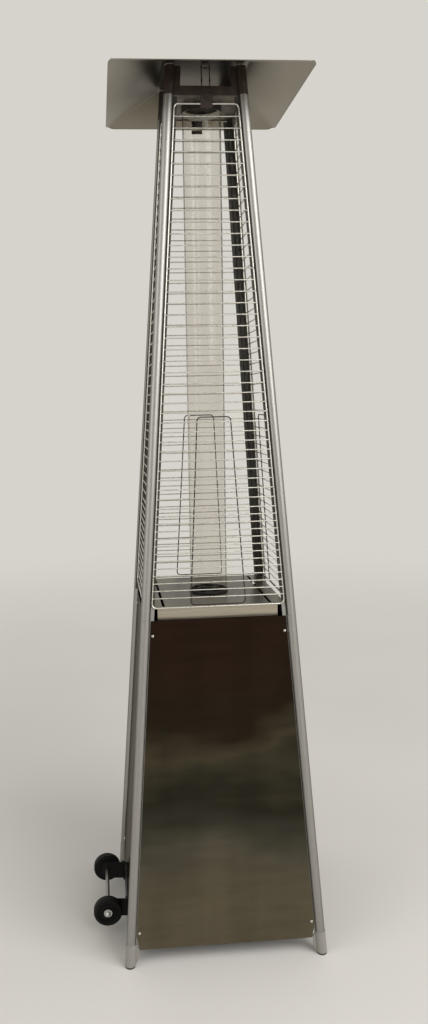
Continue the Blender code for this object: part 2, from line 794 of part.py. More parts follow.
def build_valve():
    slope = along(CONTROLS_HEIGHT)
    face = -(SKIN_INNER + GAP)
    low_corner = (-VALVE_WIDTH / 2, -VALVE_HEIGHT / 2, face - VALVE_DEPTH)
    body = box(low_corner, (VALVE_WIDTH / 2, VALVE_HEIGHT / 2, face))
    neck = cylinder(VALVE_NECK_RADIUS, face - OVERRUN, face + VALVE_NECK - STEM_TRAVEL, TUBE_STEPS)
    bore_bottom = face - STEM_INTO_VALVE - STEM_TRAVEL - GAP
    bore = cylinder(STEM_RADIUS + GAP, bore_bottom, face + VALVE_NECK + OVERRUN)
    socket_bottom = face - VALVE_DEPTH - OVERRUN
    socket = cylinder(PIPE_RADIUS + GAP, socket_bottom, face - VALVE_DEPTH + PIPE_INTO_BURNER)
    valve = combined(body, joins=[neck], cuts=[bore, socket])
    face_node("gas_valve", facing_out(valve), "cast_valve", "right", (0, 0, slope))


def build_inlet():
    """The nipple that a hose is pushed on: a nut and a barbed spigot with its bore, pointing down."""
    nut_top = -(VALVE_HEIGHT / 2 + GAP)
    nut_bottom = nut_top - INLET_NUT
    profile = [(INLET_BORE, nut_top), (INLET_NUT_RADIUS, nut_top), (INLET_NUT_RADIUS, nut_bottom)]
    profile.append((INLET_RADIUS, nut_bottom))
    barbs_top = nut_top - INLET_LENGTH + INLET_BARBS * INLET_BARB_PITCH
    for barb in range(INLET_BARBS):
        top = barbs_top - barb * INLET_BARB_PITCH
        profile += [(INLET_RADIUS, top), (INLET_BARB_RADIUS, top), (INLET_RADIUS, top - INLET_BARB_PITCH)]
    profile.append((INLET_BORE, profile[-1][1]))
    spot = (0, valve_middle_depth(), along(CONTROLS_HEIGHT))
    face_node("gas_inlet", turned(profile, SMALL_STEPS, closed=True), "brass", "right", spot)


def build_knob():
    slope = along(CONTROLS_HEIGHT)
    bottom = -SKIN_OUTER + KNOB_LIFT
    top = bottom + KNOB_HEIGHT
    base = turned(
        [
            (0, bottom),
            (KNOB_RADIUS, bottom),
            (KNOB_RADIUS, bottom + KNOB_SKIRT),
            (KNOB_RADIUS - KNOB_CROWN, top - KNOB_GRIP_RISE - KNOB_CROWN / 2),
            (KNOB_RADIUS - 2 * KNOB_CROWN, top - KNOB_GRIP_RISE),
            (0, top - KNOB_GRIP_RISE),
        ],
        ROUND_STEPS,
    )
    grip_half = KNOB_RADIUS - 2 * KNOB_CROWN
    grip_corners = rectangle(-KNOB_GRIP_WIDTH / 2, -grip_half, KNOB_GRIP_WIDTH / 2, grip_half)
    grip = plate([rounded(grip_corners, [KNOB_CROWN] * 4)], bottom + KNOB_SKIRT, top)
    socket_top = bottom + STEM_INTO_KNOB + GAP
    socket = cylinder(STEM_RADIUS + GAP, bottom - OVERRUN, socket_top)
    knob = facing_out(combined(base, joins=[grip], cuts=[socket]))
    face_node("knob", knob, "black_plastic", "right", (0, 0, slope))
    stem_low = -(SKIN_INNER + GAP) - STEM_INTO_VALVE
    stem = facing_out(cylinder(STEM_RADIUS, stem_low, socket_top - GAP))
    face_node("valve_stem", stem, "brass", "right", (0, 0, slope))


def build_igniter():
    spot = (-IGNITER_PLACE, 0, along(CONTROLS_HEIGHT))
    face = -SKIN_OUTER + GAP
    bore_bottom = face + IGNITER_BEZEL + BUTTON_PROUD - BUTTON_LENGTH - BUTTON_TRAVEL - GAP
    body = turned(
        [
            (0, face - IGNITER_LENGTH),
            (IGNITER_RADIUS, face - IGNITER_LENGTH),
            (IGNITER_RADIUS, face),
            (IGNITER_BEZEL_RADIUS, face),
            (IGNITER_BEZEL_RADIUS, face + IGNITER_BEZEL / 2),
            (IGNITER_BEZEL_RADIUS - IGNITER_BEZEL / 2, face + IGNITER_BEZEL),
            (BUTTON_RADIUS + GAP, face + IGNITER_BEZEL),
            (BUTTON_RADIUS + GAP, bore_bottom),
            (0, bore_bottom),
        ]
    )
    face_node("igniter_body", facing_out(body), "black_plastic", "right", spot)
    top = face + IGNITER_BEZEL + BUTTON_PROUD
    button = turned(
        [
            (0, top - BUTTON_LENGTH),
            (BUTTON_RADIUS, top - BUTTON_LENGTH),
            (BUTTON_RADIUS, top - BUTTON_CROWN),
            (BUTTON_RADIUS - BUTTON_CROWN, top),
            (0, top),
        ]
    )
    face_node("igniter_button", facing_out(button), "black_plastic", "right", spot)


def burner_pipe_run(start, end, radius):
    """A straight round run behind the right face, from one depth to another, on the valve's axis."""
    return facing_out(cylinder(radius, -end, -start))


def build_burner():
    floor = CONTROL_SHELF_TOP + GAP
    profile = [
        (0, floor),
        (BURNER_FOOT_RADIUS, floor),
        (BURNER_FOOT_RADIUS, floor + BURNER_FOOT),
        (BURNER_NECK_RADIUS, floor + BURNER_FOOT),
        (BURNER_NECK_RADIUS, floor + BURNER_NECK),
        (BURNER_RADIUS, floor + BURNER_SHOULDER),
    ]
    for step in range(CORNER_STEPS):
        angle = math.pi / 2 * step / CORNER_STEPS
        profile.append((BURNER_RADIUS * math.cos(angle), floor + BURNER_RIM + BURNER_DOME * math.sin(angle)))
    profile.append((0, floor + BURNER_RIM + BURNER_DOME))
    face = face_matrix("right")
    slope = along(CONTROLS_HEIGHT)
    valve_back = SKIN_INNER + GAP + VALVE_DEPTH
    start = valve_back - PIPE_INTO_BURNER + GAP
    reach = leg_spread(CONTROLS_HEIGHT) - BURNER_NECK_RADIUS
    end = (reach + PIPE_INTO_BURNER) / math.cos(TILT)
    socket = moved(burner_pipe_run(valve_back, end + GAP, PIPE_RADIUS + GAP), shift(0, 0, slope), face)
    node("burner_head", combined(turned(profile, ROUND_STEPS), cuts=[socket]), "burner_steel")
    pipe = burner_pipe_run(start, end, PIPE_RADIUS)
    face_node("burner_pipe", pipe, "burner_steel", "right", (0, 0, slope))


def build_pilot():
    """Pilot tube, electrode and thermocouple on one bracket, beside the burner."""
    floor = CONTROL_SHELF_TOP + GAP
    foot_half = PILOT_PITCH + 2 * PILOT_TUBE_RADIUS
    depth = PILOT_TUBE_RADIUS + PILOT_PLATE
    foot = box((-depth, -foot_half, floor), (depth, foot_half, floor + PILOT_PLATE))
    bridge_low = floor + PILOT_BRIDGE
    bridge = box((-depth, -foot_half, bridge_low), (depth, foot_half, bridge_low + PILOT_PLATE))
    tube = cylinder(PILOT_TUBE_RADIUS, floor + PILOT_PLATE / 2, floor + PILOT_HEIGHT)
    probes = []
    for sign in (-1, 1):
        probe = cylinder(PILOT_PROBE_RADIUS, floor + PILOT_PLATE / 2, floor + PILOT_HEIGHT)
        probes.append(moved(probe, shift(0, sign * PILOT_PITCH, 0)))
    pilot = combined(foot, joins=[bridge, tube, *probes])
    node("pilot_assembly", pilot, "burner_steel", (-PILOT_PLACE, 0, 0))


def build_switch():
    floor = CONTROL_SHELF_TOP + GAP
    profile = [
        (0, floor),
        (SWITCH_FOOT_RADIUS, floor),
        (SWITCH_FOOT_RADIUS, floor + SWITCH_FOOT),
        (SWITCH_RADIUS, floor + SWITCH_FOOT),
        (SWITCH_RADIUS, floor + SWITCH_HEIGHT),
        (0, floor + SWITCH_HEIGHT),
    ]
    node("tilt_switch", turned(profile), "black_plastic", (SWITCH_PLACE, SWITCH_PLACE, 0))


def build_glass():
    seat_bottom = TABLE_TOP + GAP
    seat_top = seat_bottom + SEAT_THICKNESS
    bore = GLASS_RADIUS - GLASS_WALL
    lip_inner = GLASS_RADIUS + GAP
    lip_outer = lip_inner + SEAT_LIP_WALL
    seat = turned(
        [
            (bore, seat_top),
            (lip_inner, seat_top),
            (lip_inner, seat_bottom + SEAT_LIP),
            (lip_outer, seat_bottom + SEAT_LIP),
            (lip_outer, seat_bottom),
            (bore, seat_bottom),
        ],
        ROUND_STEPS,
        closed=True,
    )
    node("tube_seat", seat, "silicone_seal")
    glass_bottom = seat_top + GAP
    glass = turned(
        [(bore, GLASS_TOP), (GLASS_RADIUS, GLASS_TOP), (GLASS_RADIUS, glass_bottom), (bore, glass_bottom)],
        ROUND_STEPS,
        closed=True,
    )
    node("glass_tube", glass, "clear_glass")


def cross_wire_slopes():
    """The distances up the slope of a guard's cross wires, from the top down."""
    reach = GUARD_TOP - GUARD_BOTTOM
    height = GUARD_TOP - reach * FIRST_WIRE_SHARE
    slopes = [along(height)]
    rows = [
        (UPPER_WIRES, UPPER_PITCH_SHARE),
        (MIDDLE_WIRES, MIDDLE_PITCH_SHARE),
        (LOWER_WIRES, LOWER_PITCH_SHARE),
    ]
    for count, share in rows:
        for _ in range(count):
            height -= reach * share
            slopes.append(along(height))
    return slopes


def guard_mesh():
    frame_path = rounded(trapezoid(GUARD_BOTTOM, GUARD_TOP, GUARD_EDGE, GUARD_EDGE), [GUARD_CORNER] * 4)
    frame = wires([([(x, GUARD_DEPTH, z) for x, z in frame_path], True)], GUARD_FRAME_RADIUS, 0, math.pi / 4)
    cross_runs = []
    for slope in cross_wire_slopes():
        half = leg_line(slope) - GUARD_EDGE
        cross_runs.append(([(-half, GUARD_DEPTH, slope), (half, GUARD_DEPTH, slope)], False))
    crossings = wires(cross_runs, GUARD_WIRE_RADIUS, 0)
    loop_corners = [
        (-LOOP_BOTTOM_HALF, along(LOOP_BOTTOM)),
        (LOOP_BOTTOM_HALF, along(LOOP_BOTTOM)),
        (LOOP_TOP_HALF, along(LOOP_TOP)),
        (-LOOP_TOP_HALF, along(LOOP_TOP)),
    ]
    loop_path = rounded(loop_corners, [LOOP_CORNER] * 4)
    loop = wires([([(x, LOOP_DEPTH, z) for x, z in loop_path], True)], GUARD_WIRE_RADIUS, 0)
    return combined(frame, joins=[crossings, loop])


def build_guards():
    shared = guard_mesh()
    for side in SIDES:
        piece = face_node("guard_" + side, shared, "nickel_wire", side)
        piece.data.materials.clear()
        piece.data.materials.append(material("nickel_wire"))


def ring_face():
    """One side of the head ring: the bar, and an ear at each end that rises beside the leg."""
    low, bar, ear = along(RING_BOTTOM), along(RING_BOTTOM + RING_HEIGHT), along(LEG_TOP)
    reach = TUBE_RADIUS + GAP

    def edge(slope, inward):
        return leg_line(slope) - reach - inward

    return [
        (-edge(low, 0), low),
        (edge(low, 0), low),
        (edge(ear, 0), ear),
        (edge(ear, EAR_WIDTH), ear),
        (edge(bar, EAR_WIDTH), bar),
        (-edge(bar, EAR_WIDTH), bar),
        (-edge(ear, EAR_WIDTH), ear),
        (-edge(ear, 0), ear),
    ]


def build_ring():
    """The dark ring, bent round the inner side of each leg, with a clip over each guard's top wire."""
    pieces = []
    low = along(RING_BOTTOM)
    clip_inner = GUARD_DEPTH - GUARD_FRAME_RADIUS - GAP
    clip_outer = clip_inner - CLIP_SHEET
    arm_low = low + CLIP_SHEET
    clip_outline = [
        (clip_outer, along(CLIP_BOTTOM)),
        (clip_inner, along(CLIP_BOTTOM)),
        (clip_inner, arm_low),
        (0, arm_low),
        (0, arm_low + CLIP_ARM),
        (clip_outer, arm_low + CLIP_ARM),
    ]
    for side in SIDES:
        bar = face_plate([ring_face()], -RING_SHEET / 2, RING_SHEET / 2)
        clip = standing_across(plate([clip_outline], -CLIP_WIDTH / 2, CLIP_WIDTH / 2))
        pieces += [moved(bar, face_matrix(side)), moved(clip, face_matrix(side))]
    reach = TUBE_RADIUS + GAP
    bend_half = math.sqrt(2) * (reach + RING_SHEET) / 2 + RING_SHEET
    for corner in CORNERS.values():
        bend_low, bend_high = RING_BOTTOM + RING_SHEET, RING_BOTTOM + RING_HEIGHT - RING_SHEET
        bend = box((reach, -bend_half, bend_low), (reach + RING_SHEET, bend_half, bend_high))
        inward = math.atan2(-corner[1], -corner[0])
        moved(bend, turn(inward, "Z"))
        leaning(bend, corner)
        pieces.append(moved(bend, shift(corner[0] * FOOT_SPREAD, corner[1] * FOOT_SPREAD, 0)))
    node("head_ring", combined(pieces[0], joins=pieces[1:]), "dark_head_steel")


def head_plate_outline(height):
    """The octagon that fits inside the head ring."""
    spread = leg_spread(height)
    half = spread - RING_SHEET / 2 - GAP
    meeting = 2 * spread - math.sqrt(2) * (TUBE_RADIUS + 2 * GAP + RING_SHEET)
    near = meeting - half
    outline = []
    for quarter in range(4):
        spin = Matrix.Rotation(-math.pi / 2 * quarter, 2)
        outline += [tuple(spin @ Vector(point)) for point in ((near, half), (half, near))]
    return outline


def build_head():
    bottom = RING_BOTTOM + RING_SHEET
    top = bottom + SHELF_SHEET
    head_plate = plate([head_plate_outline(top), circle(OUTLET_RADIUS, ROUND_STEPS)], bottom, top)
    node("head_plate", head_plate, "brushed_steel")
    collar_inner = GLASS_RADIUS + GAP
    collar_outer = collar_inner + COLLAR_WALL
    collar_top = bottom - GAP
    collar = turned(
        [
            (collar_inner, collar_top),
            (collar_outer, collar_top),
            (collar_outer, collar_top - COLLAR_HEIGHT),
            (collar_inner, collar_top - COLLAR_HEIGHT),
        ],
        ROUND_STEPS,
        closed=True,
    )
    node("glass_collar", collar, "brushed_steel")
    holes = [circle(SCREEN_HOLE, SCREEN_HOLE_STEPS)]
    for ring in range(1, SCREEN_RINGS + 1):
        count = SCREEN_RING_HOLES * ring
        for step in range(count):
            angle = 2 * math.pi * step / count
            x, y = ring * SCREEN_PITCH * math.cos(angle), ring * SCREEN_PITCH * math.sin(angle)
            holes.append(circle(SCREEN_HOLE, SCREEN_HOLE_STEPS, x, y))
    screen = plate([circle(SCREEN_RADIUS, ROUND_STEPS), *holes], top + GAP, top + GAP + SHEET)
    node("flame_screen", screen, "dark_head_steel")


def build_stay():
    """The thin wire bow between the front bar and the underside of the reflector."""
    foot = along(RING_BOTTOM + RING_HEIGHT) + GAP
    top = along(REFLECTOR_UNDER - GAP - STAY_RADIUS * (1 + LEAN))
    corners = [(-STAY_HALF, foot), (-STAY_HALF, top), (STAY_HALF, top), (STAY_HALF, foot)]
    path = rounded(corners, [0, STAY_CORNER, STAY_CORNER, 0])
    stay = wires([([(x, 0, z) for x, z in path], False)], STAY_RADIUS, 1)
    face_node("centre_stay", stay, "dark_head_steel", "front")


def build_reflector():
    """A flat-topped pyramid sheet, trimmed to a square with round corners."""
    rise = REFLECTOR_UNDER - REFLECTOR_RIM
    slope = rise / (REFLECTOR_HALF - REFLECTOR_FLAT)
    drop = slope * OVERRUN
    shape = bmesh.new()
    bmesh.ops.create_cone(
        shape,
        cap_ends=True,
        segments=4,
        radius1=math.sqrt(2) * (REFLECTOR_HALF + OVERRUN),
        radius2=math.sqrt(2) * REFLECTOR_FLAT,
        depth=rise + drop,
    )
    base = min(shape.faces, key=lambda face: face.calc_center_median().z)
    bmesh.ops.delete(shape, geom=[base], context="FACES_ONLY")
    first = next(iter(shape.verts)).co
    corner_angle = math.atan2(first.y, first.x)
    bmesh.ops.rotate(shape, verts=shape.verts, matrix=Matrix.Rotation(math.pi / 4 - corner_angle, 3, "Z"))
    bmesh.ops.translate(shape, verts=shape.verts, vec=(0, 0, REFLECTOR_UNDER - (rise + drop) / 2))
    sheet = guide("pyramid", finished(shape, "pyramid"))
    wall = sheet.modifiers.new("wall", "SOLIDIFY")
    wall.thickness = SHEET
    wall.offset = 1
    wall.use_even_offset = True
    mesh = evaluated_mesh(sheet)
    half = REFLECTOR_HALF
    trim_outline = rounded(rectangle(-half, -half, half, half), [REFLECTOR_CORNER] * 4)
    trim_block = plate([trim_outline], REFLECTOR_RIM - drop - SHEET, REFLECTOR_UNDER + SHEET + OVERRUN)
    trim = guide("trim", trim_block)
    holder = guide("reflector", mesh)
    keep = holder.modifiers.new("keep", "BOOLEAN")
    keep.operation = "INTERSECT"
    keep.solver = "EXACT"
    keep.object = trim
    mesh = evaluated_mesh(holder)
    bpy.data.objects.remove(trim, do_unlink=True)
    node("reflector", mesh, "reflector_sheet")


def build_post(name, corner):
    """A plug in the tube's end with a flange on its rim and a stud up to the reflector."""
    plug_radius = TUBE_RADIUS - TUBE_WALL - GAP
    flange_low = LEG_TOP + GAP
    flange_high = flange_low + POST_FLANGE
    profile = [
        (0, LEG_TOP - POST_PLUG),
        (plug_radius, LEG_TOP - POST_PLUG),
        (plug_radius, flange_low),
        (TUBE_RADIUS, flange_low),
        (TUBE_RADIUS, flange_high),
        (POST_STUD_RADIUS, flange_high),
        (POST_STUD_RADIUS, REFLECTOR_UNDER - GAP),
        (0, REFLECTOR_UNDER - GAP),
    ]
    corner_node("reflector_post_" + name, turned(profile, SMALL_STEPS), "zinc_rod", corner)


def axle_spot():
    """The axle's middle in the left face's frame."""
    return face_matrix("left").inverted() @ Vector((-FOOT_SPREAD - AXLE_REACH, 0, AXLE_HEIGHT))


def lying_across(mesh):
    """Turns a piece modelled round Z so that its +Z runs across a face."""
    return moved(mesh, turn(math.pi / 2, "Y"))


def build_wheel(name, sign):
    inner_end = BRACKET_EAR + BRACKET_SHEET + GAP
    low, high = WHEEL_PLACE - WHEEL_WIDTH / 2, WHEEL_PLACE + WHEEL_WIDTH / 2
    bore = AXLE_RADIUS + GAP
    profile = [(bore, high), (WHEEL_HUB_RADIUS, high), (WHEEL_HUB_RADIUS, high - WHEEL_DISH)]
    profile += [(WHEEL_DISH_RADIUS, high - WHEEL_DISH), (WHEEL_DISH_RADIUS + WHEEL_DISH / 2, high)]
    for end, turn_sign in ((high, 1), (low, -1)):
        for step in range(CORNER_STEPS + 1):
            angle = math.pi / 2 * step / CORNER_STEPS
            if turn_sign < 0:
                angle = math.pi / 2 - angle
            radius = WHEEL_RADIUS - WHEEL_ROUND + WHEEL_ROUND * math.sin(angle)
            profile.append((radius, end - turn_sign * WHEEL_ROUND * (1 - math.cos(angle))))
    profile += [(WHEEL_HUB_RADIUS, low), (WHEEL_HUB_RADIUS, inner_end), (bore, inner_end)]
    wheel = turned([(radius, sign * height) for radius, height in profile], closed=True)
    face_node(name, lying_across(wheel), "black_rubber", "left", axle_spot())


def build_axle():
    end = WHEEL_PLACE + WHEEL_WIDTH / 2 + NUT_HEIGHT
    face_node("axle", lying_across(cylinder(AXLE_RADIUS, -end, end)), "zinc_rod", "left", axle_spot())


def build_nut(name, sign):
    """A domed nut on the axle's end."""
    low = WHEEL_PLACE + WHEEL_WIDTH / 2 + GAP
    top = low + NUT_HEIGHT
    nut = cylinder(NUT_RADIUS, low, top, NUT_SIDES)
    dome_radius = NUT_RADIUS * math.cos(math.pi / NUT_SIDES) - GAP
    profile = [(0, low + NUT_HEIGHT / 2), (dome_radius, low + NUT_HEIGHT / 2)]
    for step in range(CORNER_STEPS):
        angle = math.pi / 2 * step / CORNER_STEPS
        profile.append((dome_radius * math.cos(angle), top + NUT_DOME * math.sin(angle)))
    profile.append((0, top + NUT_DOME))
    socket = cylinder(AXLE_RADIUS + GAP, low - OVERRUN, top)
    mesh = combined(nut, joins=[turned(profile, SMALL_STEPS)], cuts=[socket])
    if sign < 0:
        moved(mesh, turn(math.pi, "X"))
    face_node(name, lying_across(mesh), "chrome", "left", axle_spot())


def build_bracket():
    """A U of black sheet on the left panel, whose two ears hold the axle."""
    spot = axle_spot()
    back = SKIN_OUTER - GAP - spot.y
    low, high = -BRACKET_HEIGHT / 2, BRACKET_HEIGHT / 2
    ear_outline = rounded(
        [(-BRACKET_ROUND, low), (back, low), (back, high), (-BRACKET_ROUND, high)],
        [BRACKET_ROUND, 0, 0, BRACKET_ROUND],
    )
    hole = circle(AXLE_RADIUS + GAP, SMALL_STEPS)
    ears = []
    for inner in (-BRACKET_EAR - BRACKET_SHEET, BRACKET_EAR):
        ears.append(standing_across(plate([ear_outline, hole], inner, inner + BRACKET_SHEET)))
    web_end = BRACKET_EAR + BRACKET_SHEET
    web = box((-web_end, back - BRACKET_SHEET, low), (web_end, back, high))
    face_node("wheel_bracket", combined(web, joins=ears), "black_painted_steel", "left", spot)


for corner_name, corner_signs in CORNERS.items():
    build_leg("leg_" + corner_name, corner_signs)
    build_foot(corner_name, corner_signs)
    build_post(corner_name, corner_signs)
build_panel("panel_front", "front")
build_panel("panel_back", "back")
build_panel("panel_left", "left")
build_shelves()
build_hinge("hinge_lower", HINGE_LOWER)
build_hinge("hinge_upper", HINGE_UPPER)
build_door()
build_handle()
build_magnet()
build_fascia()
build_valve()
build_inlet()
build_knob()
build_igniter()
build_burner()
build_pilot()
build_switch()
build_glass()
build_guards()
build_ring()
build_head()
build_stay()
build_reflector()
build_bracket()
build_axle()
build_wheel("wheel_front", 1)
build_wheel("wheel_back", -1)
build_nut("hub_nut_front", 1)
build_nut("hub_nut_back", -1)
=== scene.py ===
"""A gas patio heater: a glass flame tube between four leaning legs, under a square reflector.

The sections follow the heater as it is put together, from the legs up to the reflector and the wheels.
"""

import json
import math

import bmesh
import bpy
from mathutils import Matrix, Vector

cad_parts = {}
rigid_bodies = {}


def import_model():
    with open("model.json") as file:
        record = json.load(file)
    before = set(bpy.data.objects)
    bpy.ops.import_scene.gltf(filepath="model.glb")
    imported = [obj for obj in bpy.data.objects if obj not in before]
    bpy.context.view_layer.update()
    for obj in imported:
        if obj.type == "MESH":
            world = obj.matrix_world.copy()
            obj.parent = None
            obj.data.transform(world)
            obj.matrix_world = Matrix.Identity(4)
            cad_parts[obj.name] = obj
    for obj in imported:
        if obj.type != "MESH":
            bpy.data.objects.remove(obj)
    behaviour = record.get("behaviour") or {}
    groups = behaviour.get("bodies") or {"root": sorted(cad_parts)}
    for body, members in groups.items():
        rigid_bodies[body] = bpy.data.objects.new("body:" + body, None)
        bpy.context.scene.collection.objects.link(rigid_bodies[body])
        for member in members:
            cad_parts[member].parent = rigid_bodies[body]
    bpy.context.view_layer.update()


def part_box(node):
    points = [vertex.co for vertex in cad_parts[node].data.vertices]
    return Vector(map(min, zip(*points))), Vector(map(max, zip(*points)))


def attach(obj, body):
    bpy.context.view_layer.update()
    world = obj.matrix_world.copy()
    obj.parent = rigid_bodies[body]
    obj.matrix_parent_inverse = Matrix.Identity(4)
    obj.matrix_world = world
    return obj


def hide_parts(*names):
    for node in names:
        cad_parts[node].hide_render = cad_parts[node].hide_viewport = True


for old in list(bpy.data.objects):
    bpy.data.objects.remove(old, do_unlink=True)
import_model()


# Camera. It stands left of the heater at eye height and looks slightly down, and its shift only
# brings the heater back into the portrait frame. Places are counted from the pyramid's own axis.
glass_low, glass_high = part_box("glass_tube")
AXIS_X = (glass_low.x + glass_high.x) / 2


def at(x, y, z):
    """A move to a place counted from the pyramid's own axis."""
    return Matrix.Translation((AXIS_X + x, y, z))


camera_data = bpy.data.cameras.new("camera")
camera_data.lens = 28.97
camera_data.sensor_width = 36
camera_data.shift_x = 0.0483
camera_data.clip_end = 200
camera = bpy.data.objects.new("camera", camera_data)
yaw, pitch, roll = math.radians(-4.43), math.radians(-7.63), math.radians(-1.29)
looking = Vector((-math.sin(yaw) * math.cos(pitch), math.cos(yaw) * math.cos(pitch), math.sin(pitch)))
across = Vector((math.cos(yaw), math.sin(yaw), 0))
upward = across.cross(looking)
camera_turn = Matrix((across, upward, -looking)).transposed().to_4x4()
camera.matrix_world = at(-0.2882, -2.2073, 1.4427) @ camera_turn @ Matrix.Rotation(roll, 4, "Z")
bpy.context.scene.collection.objects.link(camera)
bpy.context.scene.camera = camera


# Legs. Each is a 25 mm stainless tube in two lengths, butted just above the panels, with two thin
# flanges that the panels and the guards lie on. Above the butt the side towards the axis is dark, a painted
# shade, and from the head ring's lower edge up the top is dark brown and a little wider.
FOOT_SPREAD = 0.2518
TOP_SPREAD = 0.0872
LEG_TOP = 2.2515
LEAN = (FOOT_SPREAD - TOP_SPREAD) / LEG_TOP
TILT = math.atan(LEAN)
TUBE_RADIUS = 0.0125
TUBE_BOTTOM = 0.0062
BUTT = 0.8972
BUTT_GROOVE = 0.0005
SLEEVE_BOTTOM = 2.182
SLEEVE_RADIUS = 0.01275
PAINT_EDGE = 0.0002
FLANGE_REACH = 0.022
FLANGE_SHEET = 0.0015
FLANGE_LENGTHS = ((0.0603, 0.930), (0.9305, 2.179))
WELD_DEPTH = 0.001
CORNERS = {"front_left": (-1, -1), "front_right": (1, -1), "back_right": (1, 1), "back_left": (-1, 1)}


def linear_colour(hex_colour):
    """An sRGB hex colour as the linear values that a shader takes."""
    channels = []
    for place in (0, 2, 4):
        value = int(hex_colour[place : place + 2], 16) / 255
        channels.append(value / 12.92 if value <= 0.04045 else ((value + 0.055) / 1.055) ** 2.4)
    return (*channels, 1)


def new_material(name):
    material = bpy.data.materials.new(name)
    material.use_nodes = True
    material.node_tree.nodes.clear()
    return material


def add_node(owner, kind, settings=None, links=None):
    """Adds a node. Settings go to its fields, sockets or colour stops.

    Links feed its sockets, each from a socket or from the first output of a node.
    """
    node = owner.node_tree.nodes.new(kind)
    for key, value in (settings or {}).items():
        if key == "stops":
            while len(node.color_ramp.elements) < len(value):
                node.color_ramp.elements.new(0.5)
            for stop, (place, colour) in zip(node.color_ramp.elements, value):
                stop.position = place
                stop.color = linear_colour(colour)
        elif isinstance(key, str) and hasattr(node, key):
            setattr(node, key, value)
        else:
            node.inputs[key].default_value = value
    for key, source in (links or {}).items():
        output = source.outputs[0] if isinstance(source, bpy.types.Node) else source
        owner.node_tree.links.new(output, node.inputs[key])
    return node


def per_mm(x, y=None, z=None):
    """The scale of a pattern whose features are this many millimetres across, along each axis or all."""
    return (1000 / x, 1000 / (y or x), 1000 / (z or x))


def grained_finish(name, shine, grain, tones, detail=3, gloss=None, relief=None, skin=None):
    """A material whose tone, gloss and relief follow one grain of a real size.

    Shine sets the shader's own sockets, gloss is the range of roughness, and relief is the strength and
    depth of the bumps. These follow the skin instead where one is given, with its scale and its detail.
    """
    material = new_material(name)
    where = add_node(material, "ShaderNodeTexCoord").outputs["Object"]
    fields = []
    for scale, fineness in [(grain, detail), skin] if skin else [(grain, detail)]:
        sized = add_node(material, "ShaderNodeMapping", {"Scale": scale}, {"Vector": where})
        noise = {"Scale": 1, "Detail": fineness}
        fields.append(add_node(material, "ShaderNodeTexNoise", noise, {"Vector": sized}))
    feeds = {"Base Color": add_node(material, "ShaderNodeValToRGB", {"stops": tones}, {"Fac": fields[0]})}
    if gloss:
        span = {"To Min": gloss[0], "To Max": gloss[1]}
        feeds["Roughness"] = add_node(material, "ShaderNodeMapRange", span, {"Value": fields[0]})
    if relief:
        bumps = {"Strength": relief[0], "Distance": relief[1]}
        feeds["Normal"] = add_node(material, "ShaderNodeBump", bumps, {"Height": fields[-1]})
    surface = add_node(material, "ShaderNodeBsdfPrincipled", shine, feeds)
    add_node(material, "ShaderNodeOutputMaterial", None, {"Surface": surface})
    return material


def lathe(profile, steps=48, closed=False):
    """A profile of (radius, height) points spun round Z. One that isn't closed ends on the axis."""
    shape = bmesh.new()
    points = [shape.verts.new((radius, 0, height)) for radius, height in profile]
    ends = points[1:] + points[:1] if closed else points[1:]
    lines = [shape.edges.new(pair) for pair in zip(points, ends)]
    spun = {"cent": (0, 0, 0), "axis": (0, 0, 1), "angle": 2 * math.pi, "steps": steps, "use_merge": True}
    bmesh.ops.spin(shape, geom=points + lines, **spun)
    bmesh.ops.remove_doubles(shape, verts=shape.verts, dist=0.000002)
    return shape


def block(shape, low, high, edge=0.0003, steps=2):
    """A box with softened edges."""
    low, high = Vector(low), Vector(high)
    made = bmesh.ops.create_cube(shape, size=1, matrix=Matrix.LocRotScale((low + high) / 2, None, high - low))
    if edge:
        edges = {line for vert in made["verts"] for line in vert.link_edges}
        soft = {"offset": edge, "offset_type": "OFFSET", "segments": steps, "profile": 0.5}
        bmesh.ops.bevel(shape, geom=list(edges), affect="EDGES", material=-1, **soft)


def finish_piece(name, shape, materials, nodes, place=Matrix(), body="frame", sharp=35):
    """Moves a bmesh to its place and turns it into a finished piece that stands for some CAD nodes.

    Weighted normals keep large faces flat up to their softened edges.
    """
    bmesh.ops.transform(shape, matrix=place, verts=shape.verts)
    bmesh.ops.recalc_face_normals(shape, faces=shape.faces)
    mesh = bpy.data.meshes.new(name)
    shape.to_mesh(mesh)
    shape.free()
    for material in materials:
        mesh.materials.append(material)
    mesh.shade_smooth()
    mesh.set_sharp_from_angle(angle=math.radians(sharp))
    piece = bpy.data.objects.new(name, mesh)
    bpy.context.scene.collection.objects.link(piece)
    flat_shading = piece.modifiers.new("flat_shading", "WEIGHTED_NORMAL")
    flat_shading.keep_sharp = True
    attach(piece, body)
    if nodes:
        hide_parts(*nodes)


def leg_matrix(corner):
    """Shears an upright shape to the lean of this corner's leg and stands it on its foot."""
    shear = Matrix.Identity(4)
    shear[0][2] = -corner[0] * LEAN
    shear[1][2] = -corner[1] * LEAN
    return at(corner[0] * FOOT_SPREAD, corner[1] * FOOT_SPREAD, 0) @ shear


# Drawn stainless steel: fine lines run along the tube, with a slow change of tone between them. The grey
# specular tint is painted shade: it dims the glancing reflections.
leg_steel = grained_finish(
    "satin_drawn_stainless",
    {"Metallic": 1, "Specular Tint": linear_colour("8A8882")},
    per_mm(1.2, 1.2, 140),
    [(0.3, "9B9995"), (0.7, "A6A4A0")],
    gloss=(0.38, 0.44),
    relief=(0.08, 0.00003),
)

# The same steel, dull and dark with paler streaks: painted shade on the legs' sides towards the axis.
leg_inner_side_painted_shade = grained_finish(
    "stainless_inner_side_painted_shade",
    {"Metallic": 0.6},
    per_mm(3, 3, 200),
    [(0.35, "33322E"), (0.75, "504E47")],
    detail=4,
    gloss=(0.45, 0.6),
)

